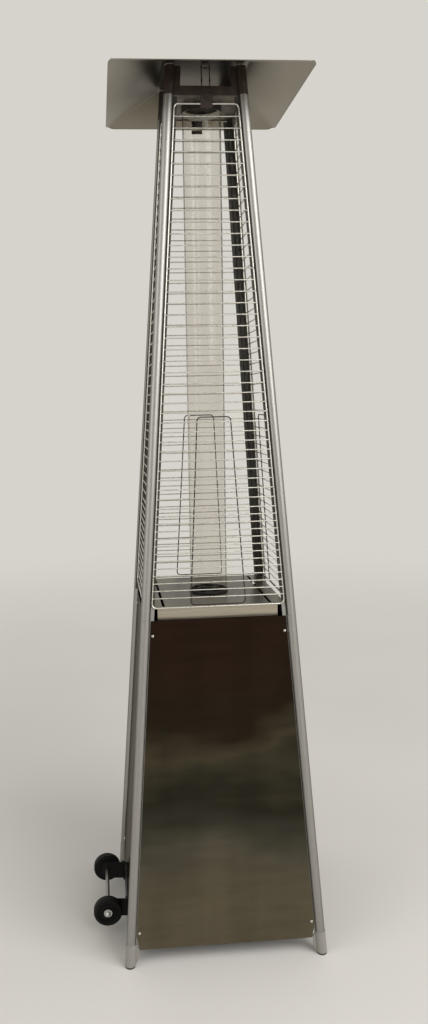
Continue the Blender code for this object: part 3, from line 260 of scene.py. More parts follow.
# Heat-proof paint: a dry dark brown film with a fine orange peel, browner where it has been hottest.
hot_paint = grained_finish(
    "dark_brown_heatproof_paint",
    {"IOR": 1.5},
    per_mm(16),
    [(0.3, "20160F"), (0.55, "2C1F16"), (0.8, "3D3026")],
    detail=4,
    gloss=(0.42, 0.58),
    relief=(0.25, 0.00004),
    skin=(per_mm(0.9), 2),
)

tube_profile = [
    (0, TUBE_BOTTOM), (TUBE_RADIUS, TUBE_BOTTOM), (TUBE_RADIUS, BUTT - BUTT_GROOVE),
    (TUBE_RADIUS - BUTT_GROOVE, BUTT), (TUBE_RADIUS, BUTT + BUTT_GROOVE), (TUBE_RADIUS, SLEEVE_BOTTOM),
    (SLEEVE_RADIUS, SLEEVE_BOTTOM + PAINT_EDGE), (SLEEVE_RADIUS, LEG_TOP - 2 * PAINT_EDGE),
    (SLEEVE_RADIUS - 2 * PAINT_EDGE, LEG_TOP), (0, LEG_TOP),
]
for corner_name, corner in CORNERS.items():
    leg = lathe(tube_profile)
    root = TUBE_RADIUS - WELD_DEPTH
    half = FLANGE_SHEET / 2
    for axis in (0, 1):
        ends = sorted((-corner[axis] * root, -corner[axis] * FLANGE_REACH))
        for bottom, top in FLANGE_LENGTHS:
            low, high = [-half, -half, bottom], [half, half, top]
            low[axis], high[axis] = ends
            block(leg, low, high)
    inward = Vector((-corner[0], -corner[1], 0)).normalized()
    for face in leg.faces:
        middle = face.calc_center_median()
        side_on = Vector((middle.x, middle.y, 0)).normalized().dot(inward)
        # Above the head ring's lower edge the leg is dark brown all round.
        if middle.z > SLEEVE_BOTTOM:
            face.material_index = 2
        # Faces towards the axis above the butt get the painted shade.
        elif middle.z > BUTT and side_on > 0:
            face.material_index = 1
    finish_piece(
        "leg_tube_" + corner_name, leg, [leg_steel, leg_inner_side_painted_shade, hot_paint],
        ["leg_" + corner_name], leg_matrix(corner),
    )


# Foot caps and pads. A moulded grey nylon sleeve closes each leg, with a leaf-shaped wing under each
# flange, and stands on a black rubber pad.
CAP_TOP = 0.060
CAP_RADIUS = 0.0138
WING_THICKNESS = 0.006
PAD_HEIGHT = 0.0038
GAP = 0.0003  # between parts that lie on each other


def arc_path(corners, radii, steps=6):
    """The points through these corners, each turned into an arc of its own radius; zero stays sharp."""
    path = []
    for place, (corner, radius) in enumerate(zip(corners, radii)):
        here = Vector(corner)
        if not radius:
            path.append(tuple(here))
            continue
        back = (Vector(corners[place - 1]) - here).normalized()
        on = (Vector(corners[(place + 1) % len(corners)]) - here).normalized()
        half_angle = back.angle(on) / 2
        centre = here + (back + on).normalized() * (radius / math.sin(half_angle))
        first = here + back * (radius / math.tan(half_angle)) - centre
        last = here + on * (radius / math.tan(half_angle)) - centre
        for step in range(steps + 1):
            path.append(tuple(centre + first.lerp(last, step / steps).normalized() * radius))
    return path


def joined(shape, other, matrix=Matrix()):
    """Adds a finished bmesh to a shape, moved by a matrix. The other one is used up."""
    bmesh.ops.transform(other, matrix=matrix, verts=other.verts)
    mesh = bpy.data.meshes.new("part")
    other.to_mesh(mesh)
    other.free()
    shape.from_mesh(mesh)
    bpy.data.meshes.remove(mesh)


def slab(shape, outline, thickness, matrix, edge=0.0006):
    """A flat outline of (x, y) points, as thick as this about its plane, with softened rims."""
    made = bmesh.new()
    face = made.faces.new([made.verts.new((x, y, -thickness / 2)) for x, y in outline])
    raised = bmesh.ops.extrude_face_region(made, geom=[face])
    tops = [item for item in raised["geom"] if isinstance(item, bmesh.types.BMVert)]
    bmesh.ops.translate(made, vec=(0, 0, thickness), verts=tops)
    if edge:
        rims = [line for line in made.edges if abs(line.verts[0].co.z - line.verts[1].co.z) < thickness / 2]
        soft = {"offset": edge, "offset_type": "OFFSET", "segments": 2, "profile": 0.5, "clamp_overlap": True}
        bmesh.ops.bevel(made, geom=rims, affect="EDGES", material=-1, **soft)
    joined(shape, made, matrix)


# Moulded nylon: an even silver grey with the fine pits of a spark-eroded mould.
cap_nylon = grained_finish(
    "moulded_grey_nylon",
    {"IOR": 1.53, "Roughness": 0.38},
    per_mm(1.2),
    [(0.3, "827F79"), (0.7, "94918A")],
    detail=4,
    relief=(0.3, 0.00008),
)

# Moulded rubber: nearly black, dull, with pale dust in patches a few millimetres across.
pad_rubber = grained_finish(
    "moulded_black_rubber",
    {"IOR": 1.52},
    per_mm(9, 9, 4),
    [(0.35, "121111"), (0.78, "262422")],
    detail=5,
    gloss=(0.55, 0.85),
)

leaf_corners = [
    (0.009, 0.0044), (0.0115, 0.0044), (0.0205, 0.018), (0.0205, 0.046), (0.0125, 0.0594), (0.009, 0.0594),
]
leaf = arc_path(leaf_corners, [0, 0, 0.006, 0.006, 0.004, 0])
cap_bottom = PAD_HEIGHT + GAP
cap_profile = [
    (0, cap_bottom), (CAP_RADIUS - 0.0008, cap_bottom), (CAP_RADIUS, cap_bottom + 0.0008),
    (CAP_RADIUS, CAP_TOP - 0.0006), (CAP_RADIUS - 0.0006, CAP_TOP), (0, CAP_TOP),
]
pad_profile = [
    (0, 0), (0.0122, 0), (0.0131, 0.0009), (0.0131, 0.0031), (0.0125, PAD_HEIGHT), (0, PAD_HEIGHT),
]
for corner_name, corner in CORNERS.items():
    cap = lathe(cap_profile)
    for angle in (math.atan2(0, -corner[0]), math.atan2(-corner[1], 0)):
        upright = Matrix.Rotation(angle, 4, "Z") @ Matrix.Rotation(math.pi / 2, 4, "X")
        slab(cap, leaf, WING_THICKNESS, upright, 0.0009)
    finish_piece(
        "foot_sleeve_" + corner_name, cap, [cap_nylon], ["foot_cap_" + corner_name],
        leg_matrix(corner),
    )
    finish_piece(
        "foot_rubber_" + corner_name, lathe(pad_profile), [pad_rubber],
        ["foot_pad_" + corner_name], leg_matrix(corner),
    )


# Lower panels. Three trapezoids of 1 mm bright stainless sheet, dark with painted reflections, each held
# by four pan-head screws in the leg flanges. Their top and bottom edges are folded in.
PANEL_EDGE = 0.0135
SKIN_OUTER = -0.00205
SKIN_INNER = -0.00105
SHEET = SKIN_INNER - SKIN_OUTER
PANEL_BOTTOM, PANEL_TOP = 0.043 / math.cos(TILT), 0.8945 / math.cos(TILT)
CORNER_CUT = (0.009, 0.034)
LIP_DEPTH = 0.007
LIP_END = 0.002
SCREW_INSET = 0.020
FRONT, RIGHT, BACK, LEFT = range(4)
SIDES = {"front": FRONT, "right": RIGHT, "back": BACK, "left": LEFT}
LOOK_OUT = Matrix.Rotation(math.pi / 2, 4, "X")
SKIN = Matrix.Translation((0, (SKIN_OUTER + SKIN_INNER) / 2, 0)) @ LOOK_OUT


def face_matrix(side):
    """A side's own frame: X across, Y inwards and Z up the slope. Sides count round from the front."""
    lean_in = Matrix.Translation((0, -FOOT_SPREAD, 0)) @ Matrix.Rotation(-TILT, 4, "X")
    return at(0, 0, 0) @ Matrix.Rotation(math.pi / 2 * side, 4, "Z") @ lean_in


def leg_line(slope):
    """How far a leg's centre line lies from a face's middle at a distance up the slope."""
    return FOOT_SPREAD - math.sin(TILT) * slope


# Bright stainless whose tone is painted reflection: brown at the top and olive below, with broad bands
# and a pale upright sheen. The polishing lines are 0.8 mm apart. The dark specular tint is painted shade
# that keeps the sheet dark along its outline too, where bare steel would turn white.
panel_steel_painted_reflections = new_material("stainless_painted_reflections")
where = add_node(panel_steel_painted_reflections, "ShaderNodeTexCoord").outputs["Object"]
grains = {
    "wave": (per_mm(260, 260, 120), 2, -0.09, 0.09),
    "streak": (per_mm(70, 70, 600), 2, 0.78, 1.28),
    "ripple": (per_mm(150, 150, 22), 2, 0.82, 1.18),
    "polish": (per_mm(60, 60, 0.8), 3, 0.2, 0.3),
}
noises, spans = {}, {}
for grain_name, (scale, detail, least, most) in grains.items():
    sized = add_node(panel_steel_painted_reflections, "ShaderNodeMapping", {"Scale": scale}, {"Vector": where})
    noise = add_node(panel_steel_painted_reflections, "ShaderNodeTexNoise", {"Scale": 1, "Detail": detail}, {"Vector": sized})
    span = {"To Min": least, "To Max": most}
    noises[grain_name] = noise
    spans[grain_name] = add_node(panel_steel_painted_reflections, "ShaderNodeMapRange", span, {"Value": noise})
height = add_node(panel_steel_painted_reflections, "ShaderNodeSeparateXYZ", None, {"Vector": where}).outputs["Z"]
waved = add_node(panel_steel_painted_reflections, "ShaderNodeMath", {"operation": "ADD"}, {0: height, 1: spans["wave"]})
flatten = {"operation": "MULTIPLY", 1: (1, 1, 0)}
flat_place = add_node(panel_steel_painted_reflections, "ShaderNodeVectorMath", flatten, {0: where})
from_axis = add_node(
    panel_steel_painted_reflections, "ShaderNodeVectorMath", {"operation": "DOT_PRODUCT"}, {0: flat_place, 1: flat_place}
)
bow_range = {"From Min": 0.42, "From Max": 0.66, "To Min": 0.6, "To Max": -1.3}
bow = add_node(panel_steel_painted_reflections, "ShaderNodeMapRange", bow_range, {"Value": height})
bowed = {0: from_axis.outputs["Value"], 1: bow, 2: waved}
level = add_node(panel_steel_painted_reflections, "ShaderNodeMath", {"operation": "MULTIPLY_ADD"}, bowed)
# Bands of painted reflection, by height and distance from the axis.
reflection_band_stops = [
    (0.04, "696151"), (0.20, "5E5747"), (0.32, "545044"), (0.40, "3A3930"), (0.47, "2C2B22"),
    (0.52, "453F32"), (0.58, "2A241B"), (0.70, "2F231B"), (0.90, "2C2019"),
]
bands = add_node(panel_steel_painted_reflections, "ShaderNodeValToRGB", {"stops": reflection_band_stops}, {"Fac": level})
# The pale upright sheen, a painted reflection, scales the bands.
strength = add_node(
    panel_steel_painted_reflections, "ShaderNodeMath", {"operation": "MULTIPLY"}, {0: spans["streak"], 1: spans["ripple"]}
)
tint = add_node(panel_steel_painted_reflections, "ShaderNodeVectorMath", {"operation": "SCALE"}, {0: bands, "Scale": strength})
relief = {"Strength": 0.15, "Distance": 0.00003}
bump = add_node(panel_steel_painted_reflections, "ShaderNodeBump", relief, {"Height": noises["polish"]})
surface = add_node(
    panel_steel_painted_reflections,
    "ShaderNodeBsdfPrincipled",
    {"Metallic": 1, "Specular Tint": linear_colour("8A857A")},
    {"Base Color": tint, "Roughness": spans["polish"], "Normal": bump},
)
add_node(panel_steel_painted_reflections, "ShaderNodeOutputMaterial", None, {"Surface": surface})

# Bright zinc plate: a pale bluish metal whose gloss changes in small clouds.
bright_zinc = grained_finish(
    "bright_zinc_plate", {"Metallic": 1}, per_mm(4), [(0.3, "AEACA8"), (0.7, "CFCDC9")], gloss=(0.2, 0.36)
)


def screw_head_mesh():
    """An 8 mm pan head with a cross recess, seated on the XY plane, that each screw copies."""
    head_profile = [(0, 0.0024), (0.0014, 0.00235), (0.0027, 0.0020), (0.0036, 0.0013), (0.0040, 0.0004)]
    shapes = [lathe([*head_profile, (0.0040, 0), (0, 0)], 20), bmesh.new(), bmesh.new()]
    bmesh.ops.recalc_face_normals(shapes[0], faces=shapes[0].faces)
    for shape, x, y in ((shapes[1], 0.0021, 0.00045), (shapes[2], 0.00045, 0.0021)):
        block(shape, (-x, -y, 0.0013), (x, y, 0.0040), 0)
    holders = []
    for shape in shapes:
        mesh = bpy.data.meshes.new("screw_head")
        shape.to_mesh(mesh)
        shape.free()
        holders.append(bpy.data.objects.new("screw_head", mesh))
        bpy.context.scene.collection.objects.link(holders[-1])
    for tool in holders[1:]:
        recess = holders[0].modifiers.new("recess", "BOOLEAN")
        recess.operation = "DIFFERENCE"
        recess.solver = "EXACT"
        recess.object = tool
    bpy.context.view_layer.update()
    made = bpy.data.meshes.new_from_object(holders[0].evaluated_get(bpy.context.evaluated_depsgraph_get()))
    for holder in holders:
        bpy.data.objects.remove(holder, do_unlink=True)
    return made


SCREW_HEAD = screw_head_mesh()


def add_screw(shape, matrix, size=1.0):
    """Copies the screw head into a shape; the matrix puts its seat and turns its +Z outwards."""
    copy = bmesh.new()
    copy.from_mesh(SCREW_HEAD)
    joined(shape, copy, matrix @ Matrix.Scale(size, 4))


def add_lips(shape, bottom, top):
    """The folded lips between the flanges, behind a panel's top and bottom edges."""
    for slope, low in ((bottom, bottom + GAP), (top, top - GAP - SHEET)):
        half = leg_line(slope) - FLANGE_REACH - LIP_END
        block(shape, (-half, SKIN_INNER - SHEET / 2, low), (half, LIP_DEPTH, low + SHEET))


def screw_pairs(slopes):
    """The pan-head screws of one panel, at both its edges and at these distances up the slope."""
    screws = bmesh.new()
    for slope in slopes:
        for sign in (-1, 1):
            seat = Matrix.Translation((sign * (leg_line(slope) - SCREW_INSET), SKIN_OUTER, slope))
            add_screw(screws, seat @ LOOK_OUT)
    return screws


shoulder = PANEL_BOTTOM + CORNER_CUT[1]
RIGHT_EDGE = [
    (leg_line(PANEL_BOTTOM) - PANEL_EDGE - CORNER_CUT[0], PANEL_BOTTOM),
    (leg_line(shoulder) - PANEL_EDGE, shoulder),
    (leg_line(PANEL_TOP) - PANEL_EDGE, PANEL_TOP),
]
for side_name in ("front", "back", "left"):
    panel = bmesh.new()
    slab(panel, [*RIGHT_EDGE, *[(-x, y) for x, y in reversed(RIGHT_EDGE)]], SHEET, SKIN, 0.0003)
    add_lips(panel, PANEL_BOTTOM, PANEL_TOP)
    finish_piece(
        "tinted_panel_" + side_name, panel, [panel_steel_painted_reflections], ["panel_" + side_name],
        face_matrix(SIDES[side_name]),
    )
    screws = screw_pairs((0.0865, 0.8585))
    place = face_matrix(SIDES[side_name])
    finish_piece("panel_screws_" + side_name, screws, [bright_zinc], [], place)


# Shelves and burner table. Three folded plates between the legs, with a notch where each skirt begins.
# The lowest, black enamelled, carries the gas bottle, the middle one the burner, and the burner table
# closes the base. It has the hole for the flame and two long vent slots.
SHELF_SHEET = 0.0012
SHELF_INSET = 0.0087
SHELF_SKIRT_END = 0.030
FOLD = 0.0018
BASE_TOP = 0.085
SHELF_TOP = 0.800
CONTROL_SKIRT = 0.010
TABLE_TOP = 0.925
FLAME_HOLE = 0.0465
SLOT_INSET, SLOT_END, SLOT_HALF = 0.038, 0.0095, 0.0035
VALVE_HEIGHT = 0.8465
VALVE_DEPTH = 0.042
ALONG_SIDE = Matrix(((0, 0, 1, 0), (1, 0, 0, 0), (0, 1, 0, 0), (0, 0, 0, 1)))


def along(height):
    """The distance up a face's slope to a height."""
    return height / math.cos(TILT)


def leg_spread(height):
    """How far a leg's centre line lies out from the pyramid's axis at a height."""
    return FOOT_SPREAD - LEAN * height


def circle(radius, x=0, y=0, steps=48):
    """The points of a circle about a place."""
    turns = [2 * math.pi * step / steps for step in range(steps)]
    return [(x + radius * math.cos(angle), y + radius * math.sin(angle)) for angle in turns]


def meshed_curve(curve):
    """A curve as a bmesh, with its loose caps welded on."""
    holder = bpy.data.objects.new("outline", curve)
    mesh = bpy.data.meshes.new_from_object(holder)
    bpy.data.objects.remove(holder)
    shape = bmesh.new()
    shape.from_mesh(mesh)
    bmesh.ops.remove_doubles(shape, verts=shape.verts, dist=0.000005)
    return shape


def cut_sheet(shape, outlines, thickness, matrix, edge=0.0002):
    """A flat sheet about its own plane, from an outline with any holes, its rims softened."""
    curve = bpy.data.curves.new("outline", "CURVE")
    curve.dimensions = "2D"
    curve.fill_mode = "BOTH"
    curve.extrude = thickness / 2 - edge
    curve.bevel_depth = edge
    curve.bevel_resolution = 1
    curve.offset = -edge
    for outline in outlines:
        spline = curve.splines.new("POLY")
        spline.points.add(len(outline) - 1)
        for point, (x, y) in zip(spline.points, outline):
            point.co = (x, y, 0, 1)
        spline.use_cyclic_u = True
    joined(shape, meshed_curve(curve), matrix)


def rectangle(left, bottom, right, top):
    """The corners of a rectangle, counted round from the lower left."""
    return [(left, bottom), (right, bottom), (right, top), (left, top)]


def quarter_turns(points):
    """An outline of four like sides, from the points of the one side that is given."""
    outline = []
    for quarter in range(4):
        turn = Matrix.Rotation(-math.pi / 2 * quarter, 2)
        outline += [tuple(turn @ Vector(point)) for point in points]
    return outline


def folded_shelf(top, skirt, holes):
    """A shelf plate whose cut corners meet the legs, with a folded skirt on each side."""
    shape = bmesh.new()
    spread = leg_spread(top)
    half = spread - SHELF_INSET
    near = 2 * spread - math.sqrt(2) * (TUBE_RADIUS + GAP) - half
    end = spread - SHELF_SKIRT_END
    side = [(near, half), (half, near), (half, end), (half - FOLD, end), (half - FOLD, -end), (half, -end)]
    middle = Matrix.Translation((0, 0, top - SHELF_SHEET / 2))
    cut_sheet(shape, [quarter_turns(side), *holes], SHELF_SHEET, middle)
    corners = [
        (0, -skirt), (SHELF_SHEET, -skirt), (SHELF_SHEET, -SHELF_SHEET), (FOLD, -SHELF_SHEET), (FOLD, 0),
        (0, 0),
    ]
    section = arc_path(corners, [0, 0, 0.0005, 0, 0, FOLD - 0.0001])
    for quarter in range(4):
        side_turn = Matrix.Rotation(math.pi / 2 * quarter, 4, "Z")
        slab(shape, section, 2 * end, side_turn @ Matrix.Translation((0, -half, top)) @ ALONG_SIDE, 0)
    return shape


# Black stove enamel: a thick gloss coat with the soft ripple that firing leaves.
black_enamel = grained_finish(
    "black_stove_enamel",
    {"IOR": 1.5, "Specular IOR Level": 0.25},
    per_mm(2.5),
    [(0.3, "0E0E0E"), (0.7, "1A1919")],
    gloss=(0.32, 0.5),
    relief=(0.3, 0.00005),
)

# Brushed stainless sheet: belt-ground lines along X, under a millimetre apart, and a warm tone.
brushed_sheet = grained_finish(
    "brushed_stainless_sheet",
    {"Metallic": 1},
    per_mm(90, 0.7, 0.7),
    [(0.3, "A29A8A"), (0.7, "BDB5A5")],
    gloss=(0.28, 0.42),
    relief=(0.2, 0.00004),
)


def centre_toned_sheet(name, centring, grain, detail, drift, tones, gloss):
    """Sheet metal whose tones follow the distance from a centre, blurred by a grain of a real size."""
    material = new_material(name)
    where = add_node(material, "ShaderNodeTexCoord").outputs["Object"]
    centred = add_node(material, "ShaderNodeMapping", centring, {"Vector": where})
    distance = add_node(material, "ShaderNodeVectorMath", {"operation": "LENGTH"}, {0: centred})
    sized = add_node(material, "ShaderNodeMapping", {"Scale": grain}, {"Vector": where})
    noise = add_node(material, "ShaderNodeTexNoise", {"Scale": 1, "Detail": detail}, {"Vector": sized})
    blur = add_node(material, "ShaderNodeMapRange", {"To Min": -drift, "To Max": drift}, {"Value": noise})
    summed = {0: distance.outputs["Value"], 1: blur}
    reach = add_node(material, "ShaderNodeMath", {"operation": "ADD"}, summed)
    tone = add_node(material, "ShaderNodeValToRGB", {"stops": tones}, {"Fac": reach})
    span = {"To Min": gloss[0], "To Max": gloss[1]}
    rough = add_node(material, "ShaderNodeMapRange", span, {"Value": noise})
    feeds = {"Base Color": tone, "Roughness": rough}
    surface = add_node(material, "ShaderNodeBsdfPrincipled", {"Metallic": 1}, feeds)
    add_node(material, "ShaderNodeOutputMaterial", None, {"Surface": surface})
    return material


# The table's upper face: the same sheet, darker and more olive than the skirts as painted shade, and
# darkest round the flame.
table_top_painted_shade = centre_toned_sheet(
    "upper_face_painted_shade",
    {"Location": (-AXIS_X, 0, -TABLE_TOP)},
    per_mm(60, 5, 5),
    detail=4,
    drift=0.03,
    tones=[(0.05, "4A493F"), (0.12, "5C5B4F"), (0.22, "6B695B")],
    gloss=(0.26, 0.38),
)

# Mill-finish sheet inside the base: a dark dull grey, painted shade that keeps the inside dark through the
# slots, with a faint crystal pattern.
shelf_sheet_painted_shade = new_material("mill_sheet_painted_shade")
where = add_node(shelf_sheet_painted_shade, "ShaderNodeTexCoord").outputs["Object"]
sized = add_node(shelf_sheet_painted_shade, "ShaderNodeMapping", {"Scale": per_mm(7)}, {"Vector": where})
crystals = add_node(shelf_sheet_painted_shade, "ShaderNodeTexVoronoi", {"Scale": 1}, {"Vector": sized})
crystal_tones = [(0.2, "4B4A47"), (0.8, "5D5C58")]
tone = add_node(shelf_sheet_painted_shade, "ShaderNodeValToRGB", {"stops": crystal_tones}, {"Fac": crystals})
gloss = add_node(shelf_sheet_painted_shade, "ShaderNodeMapRange", {"To Min": 0.45, "To Max": 0.6}, {"Value": crystals})
feeds = {"Base Color": tone, "Roughness": gloss}
surface = add_node(shelf_sheet_painted_shade, "ShaderNodeBsdfPrincipled", {"Metallic": 1}, feeds)
add_node(shelf_sheet_painted_shade, "ShaderNodeOutputMaterial", None, {"Surface": surface})

base = folded_shelf(BASE_TOP, 0.020, [])
finish_piece("base_shelf_tray", base, [black_enamel], ["base_shelf"], at(0, 0, 0))
valve_middle = SKIN_INNER + GAP + VALVE_DEPTH / 2
inlet_spot = face_matrix(RIGHT) @ Vector((0, valve_middle, along(VALVE_HEIGHT)))
inlet_x = inlet_spot.x - AXIS_X - LEAN * (VALVE_HEIGHT - SHELF_TOP)
upper = folded_shelf(SHELF_TOP, CONTROL_SKIRT, [circle(0.014, inlet_x, 0, 32)])
finish_piece("control_shelf_tray", upper, [shelf_sheet_painted_shade], ["control_shelf"], at(0, 0, 0))

table_half = leg_spread(TABLE_TOP) - SHELF_INSET
slot_reach = table_half - SLOT_END
slots = []
for middle in (SLOT_INSET - table_half, table_half - SLOT_INSET):
    corners = rectangle(middle - SLOT_HALF, -slot_reach, middle + SLOT_HALF, slot_reach)
    slots.append(arc_path(corners, [SLOT_HALF - 0.0001] * 4))
table = folded_shelf(TABLE_TOP, 0.035, [circle(FLAME_HOLE), *slots])
# Level upper faces take the painted shade.
for face in table.faces:
    level_top = face.calc_center_median().z > TABLE_TOP - SHELF_SHEET / 4 and abs(face.normal.z) > 0.9
    face.material_index = int(level_top)
finish_piece(
    "burner_table_top", table, [brushed_sheet, table_top_painted_shade], ["burner_table"], at(0, 0, 0)
)


# Burner, pilot and tilt switch, on the middle shelf. The burner is a spun steel drum with ports round
# its rim. Beside it one bracket holds pilot tube, electrode and thermocouple.
BURNER_FLOOR = SHELF_TOP + GAP
PILOT_X = -0.0425
PORT_RING = 96
PORT_EVERY = 3
PORT_LOW, PORT_HIGH = 0.093, 0.102


def rod(shape, radius, start, end, sides=32):
    """A straight round bar between two points, or a hexagon with six sides."""
    start, end = Vector(start), Vector(end)
    turn = (end - start).to_track_quat("Z", "Y")
    place = Matrix.LocRotScale((start + end) / 2, turn, None)
    size = {"radius1": radius, "radius2": radius, "depth": (end - start).length}
    bmesh.ops.create_cone(shape, cap_ends=True, segments=sides, matrix=place, **size)


# Steel that has glowed: a dull scale, nearly black, with rust-brown and blue-grey patches.
scaled_steel = grained_finish(
    "heat_scaled_burner_steel",
    {"Metallic": 0.7},
    per_mm(22),
    [(0.3, "2B2520"), (0.5, "3B342D"), (0.7, "33323A")],
    detail=4,
    gloss=(0.45, 0.62),
)

# Glazed ceramic: off-white with grey specks in the glaze.
glazed_ceramic = grained_finish(
    "glazed_white_ceramic", {"IOR": 1.55, "Roughness": 0.25}, per_mm(3), [(0.3, "CFC9BC"), (0.7, "E6E2D8")]
)

# Phenolic moulding: black, with the faint mottle of its wood filler.
phenolic = grained_finish(
    "black_phenolic_moulding",
    {"IOR": 1.55},
    per_mm(1.5),
    [(0.3, "131313"), (0.7, "232120")],
    gloss=(0.32, 0.44),
)

drum_profile = [
    (0, 0), (0.0255, 0), (0.026, 0.0005), (0.026, 0.0025), (0.0255, 0.003), (0.0172, 0.003),
    (0.016, 0.0042), (0.016, 0.058), (0.0175, 0.062), (0.0325, 0.0765), (0.034, 0.079), (0.034, 0.092),
    (0.034, 0.103), (0.0332, 0.1085), (0.0300, 0.1130), (0.0240, 0.1160), (0.0120, 0.1177), (0, 0.118),
]
burner = lathe(drum_profile, PORT_RING)
ports = []
for face in burner.faces:
    middle = face.calc_center_median()
    step = round(math.atan2(middle.y, middle.x) / (2 * math.pi / PORT_RING) - 0.5)
    if PORT_LOW < middle.z < PORT_HIGH and step % PORT_EVERY == 0:
        ports.append(face)
for inset, depth in ((0.0002, 0), (0.0001, -0.003)):
    bmesh.ops.inset_individual(burner, faces=ports, thickness=inset, depth=depth, use_even_offset=True)
finish_piece("burner_drum", burner, [scaled_steel], ["burner_head"], at(0, 0, BURNER_FLOOR))

pilot = bmesh.new()
for level in (0, 0.095):
    block(pilot, (-0.0047, -0.0164, level), (0.0047, 0.0164, level + 0.0015))
rod(pilot, 0.0032, (0, 0, 0.001), (0, 0, 0.112), 24)
for y in (-0.010, 0.010):
    rod(pilot, 0.0014, (0, y, 0.001), (0, y, 0.116))
    rod(pilot, 0.0026, (0, y, 0.0895), (0, y, 0.0955), 6)
finish_piece(
    "pilot_bracket", pilot, [scaled_steel], ["pilot_assembly"], at(PILOT_X, 0, BURNER_FLOOR)
)
sleeve = [(0.0015, 0.0968), (0.0022, 0.0971), (0.0022, 0.1095), (0.0018, 0.1105), (0.0015, 0.1105)]
finish_piece(
    "electrode_sleeve", lathe(sleeve, 24, True), [glazed_ceramic], [],
    at(PILOT_X, 0.010, BURNER_FLOOR),
)

switch_profile = [
    (0, 0), (0.0195, 0), (0.020, 0.0005), (0.020, 0.002), (0.0195, 0.0025), (0.013, 0.0025),
    (0.013, 0.0225), (0.0120, 0.0240), (0.0095, 0.0240), (0.0090, 0.0232), (0, 0.0232),
]
finish_piece(
    "tilt_switch_can", lathe(switch_profile), [phenolic], ["tilt_switch"],
    at(0.085, 0.085, BURNER_FLOOR),
)


# Gas valve, spindle, inlet nipple and burner pipe, behind the fascia. The valve is a zinc casting, and
# the nipple is turned from brass, with three barbs that a gas hose is pushed over.
CONTROLS = face_matrix(RIGHT) @ Matrix.Translation((0, 0, along(VALVE_HEIGHT)))
OUT_OF_FACE = CONTROLS @ LOOK_OUT
VALVE_FRONT = -(SKIN_INNER + GAP)
VALVE_BACK = VALVE_FRONT - VALVE_DEPTH

# Die-cast zinc, bead blasted: an even mid grey with sub-millimetre pits.
cast_zinc = grained_finish(
    "bead_blasted_zinc_casting",
    {"Metallic": 0.9, "Roughness": 0.52},
    per_mm(0.7),
    [(0.3, "84837F"), (0.7, "A5A4A0")],
    detail=4,
    relief=(0.4, 0.0001),
)

# Turned brass: yellow metal with the fine rings that the tool leaves 0.4 mm apart.
turned_brass = grained_finish(
    "turned_brass",
    {"Metallic": 1},
    per_mm(6, 6, 0.4),
    [(0.3, "A5813F"), (0.7, "C7A360")],
    detail=2,
    gloss=(0.22, 0.36),
)

valve = bmesh.new()
block(valve, (-0.018, -0.017, VALVE_BACK), (0.018, 0.017, VALVE_FRONT), 0.0025, 3)
gland = [(0.010, -0.001), (0.010, 0.0016), (0.0096, 0.002), (0.0046, 0.002), (0.0046, -0.001)]
joined(valve, lathe([(radius, VALVE_FRONT + rise) for radius, rise in gland], 48, True))
for x in (-0.012, 0.012):
    for y in (-0.011, 0.011):
        add_screw(valve, Matrix.Translation((x, y, VALVE_BACK)) @ Matrix.Rotation(math.pi, 4, "X"), 0.7)
finish_piece("valve_casting", valve, [cast_zinc], ["gas_valve"], OUT_OF_FACE)

inlet = bmesh.new()
rod(inlet, 0.0108, (0, 0, -0.0253), (0, 0, -0.0173), 6)
barb_profile = [(0.003, -0.0233), (0.0065, -0.0233)]
for barb in range(3):
    top = -0.0533 - barb * 0.008
    barb_profile += [(0.0065, top), (0.0084, top - 0.0003), (0.0085, top - 0.0008), (0.0065, top - 0.008)]
barb_profile.append((0.003, barb_profile[-1][1]))
joined(inlet, lathe(barb_profile, 48, True))
finish_piece(
    "inlet_nipple", inlet, [turned_brass], ["gas_inlet"],
    CONTROLS @ Matrix.Translation((0, valve_middle, 0)),
)

pipe = bmesh.new()
pipe_end = -(leg_spread(VALVE_HEIGHT) - 0.008) / math.cos(TILT)
rod(pipe, 0.005, (0, 0, VALVE_BACK + 0.0075), (0, 0, pipe_end))
rod(pipe, 0.0085, (0, 0, VALVE_BACK - 0.009), (0, 0, VALVE_BACK - GAP), 6)
finish_piece("burner_supply_pipe", pipe, [scaled_steel], ["burner_pipe"], OUT_OF_FACE)

stem_root = VALVE_FRONT - 0.010
stem_profile = [(0, stem_root), (0.004, stem_root), (0.004, 0.0187), (0.0035, 0.0192), (0, 0.0192)]
finish_piece(
    "valve_spindle", lathe(stem_profile), [turned_brass], ["valve_stem"], OUT_OF_FACE,
    body="stem_body",
)


# Fascia, knob and igniter, at the top of the right side. The fascia is of the panels' sheet, with a
# scale printed round the knob. Knob, igniter and button are phenolic mouldings.
FASCIA_LOW = along(0.7985)
IGNITER_X = -0.070
KNOB_SEAT = OUT_OF_FACE @ Matrix.Translation((0, 0, 0.0055 - SKIN_OUTER))
IGNITER_SEAT = OUT_OF_FACE @ Matrix.Translation((IGNITER_X, 0, GAP - SKIN_OUTER))
SCALE_RADIUS = 0.0285
INK = 0.00012

# Screen-printed ink: off-white and matt, thin in places.
scale_ink = grained_finish(
    "printed_white_ink", {"Roughness": 0.6}, per_mm(1.5), [(0.3, "C8C5BE"), (0.7, "E6E4DE")], detail=4
)

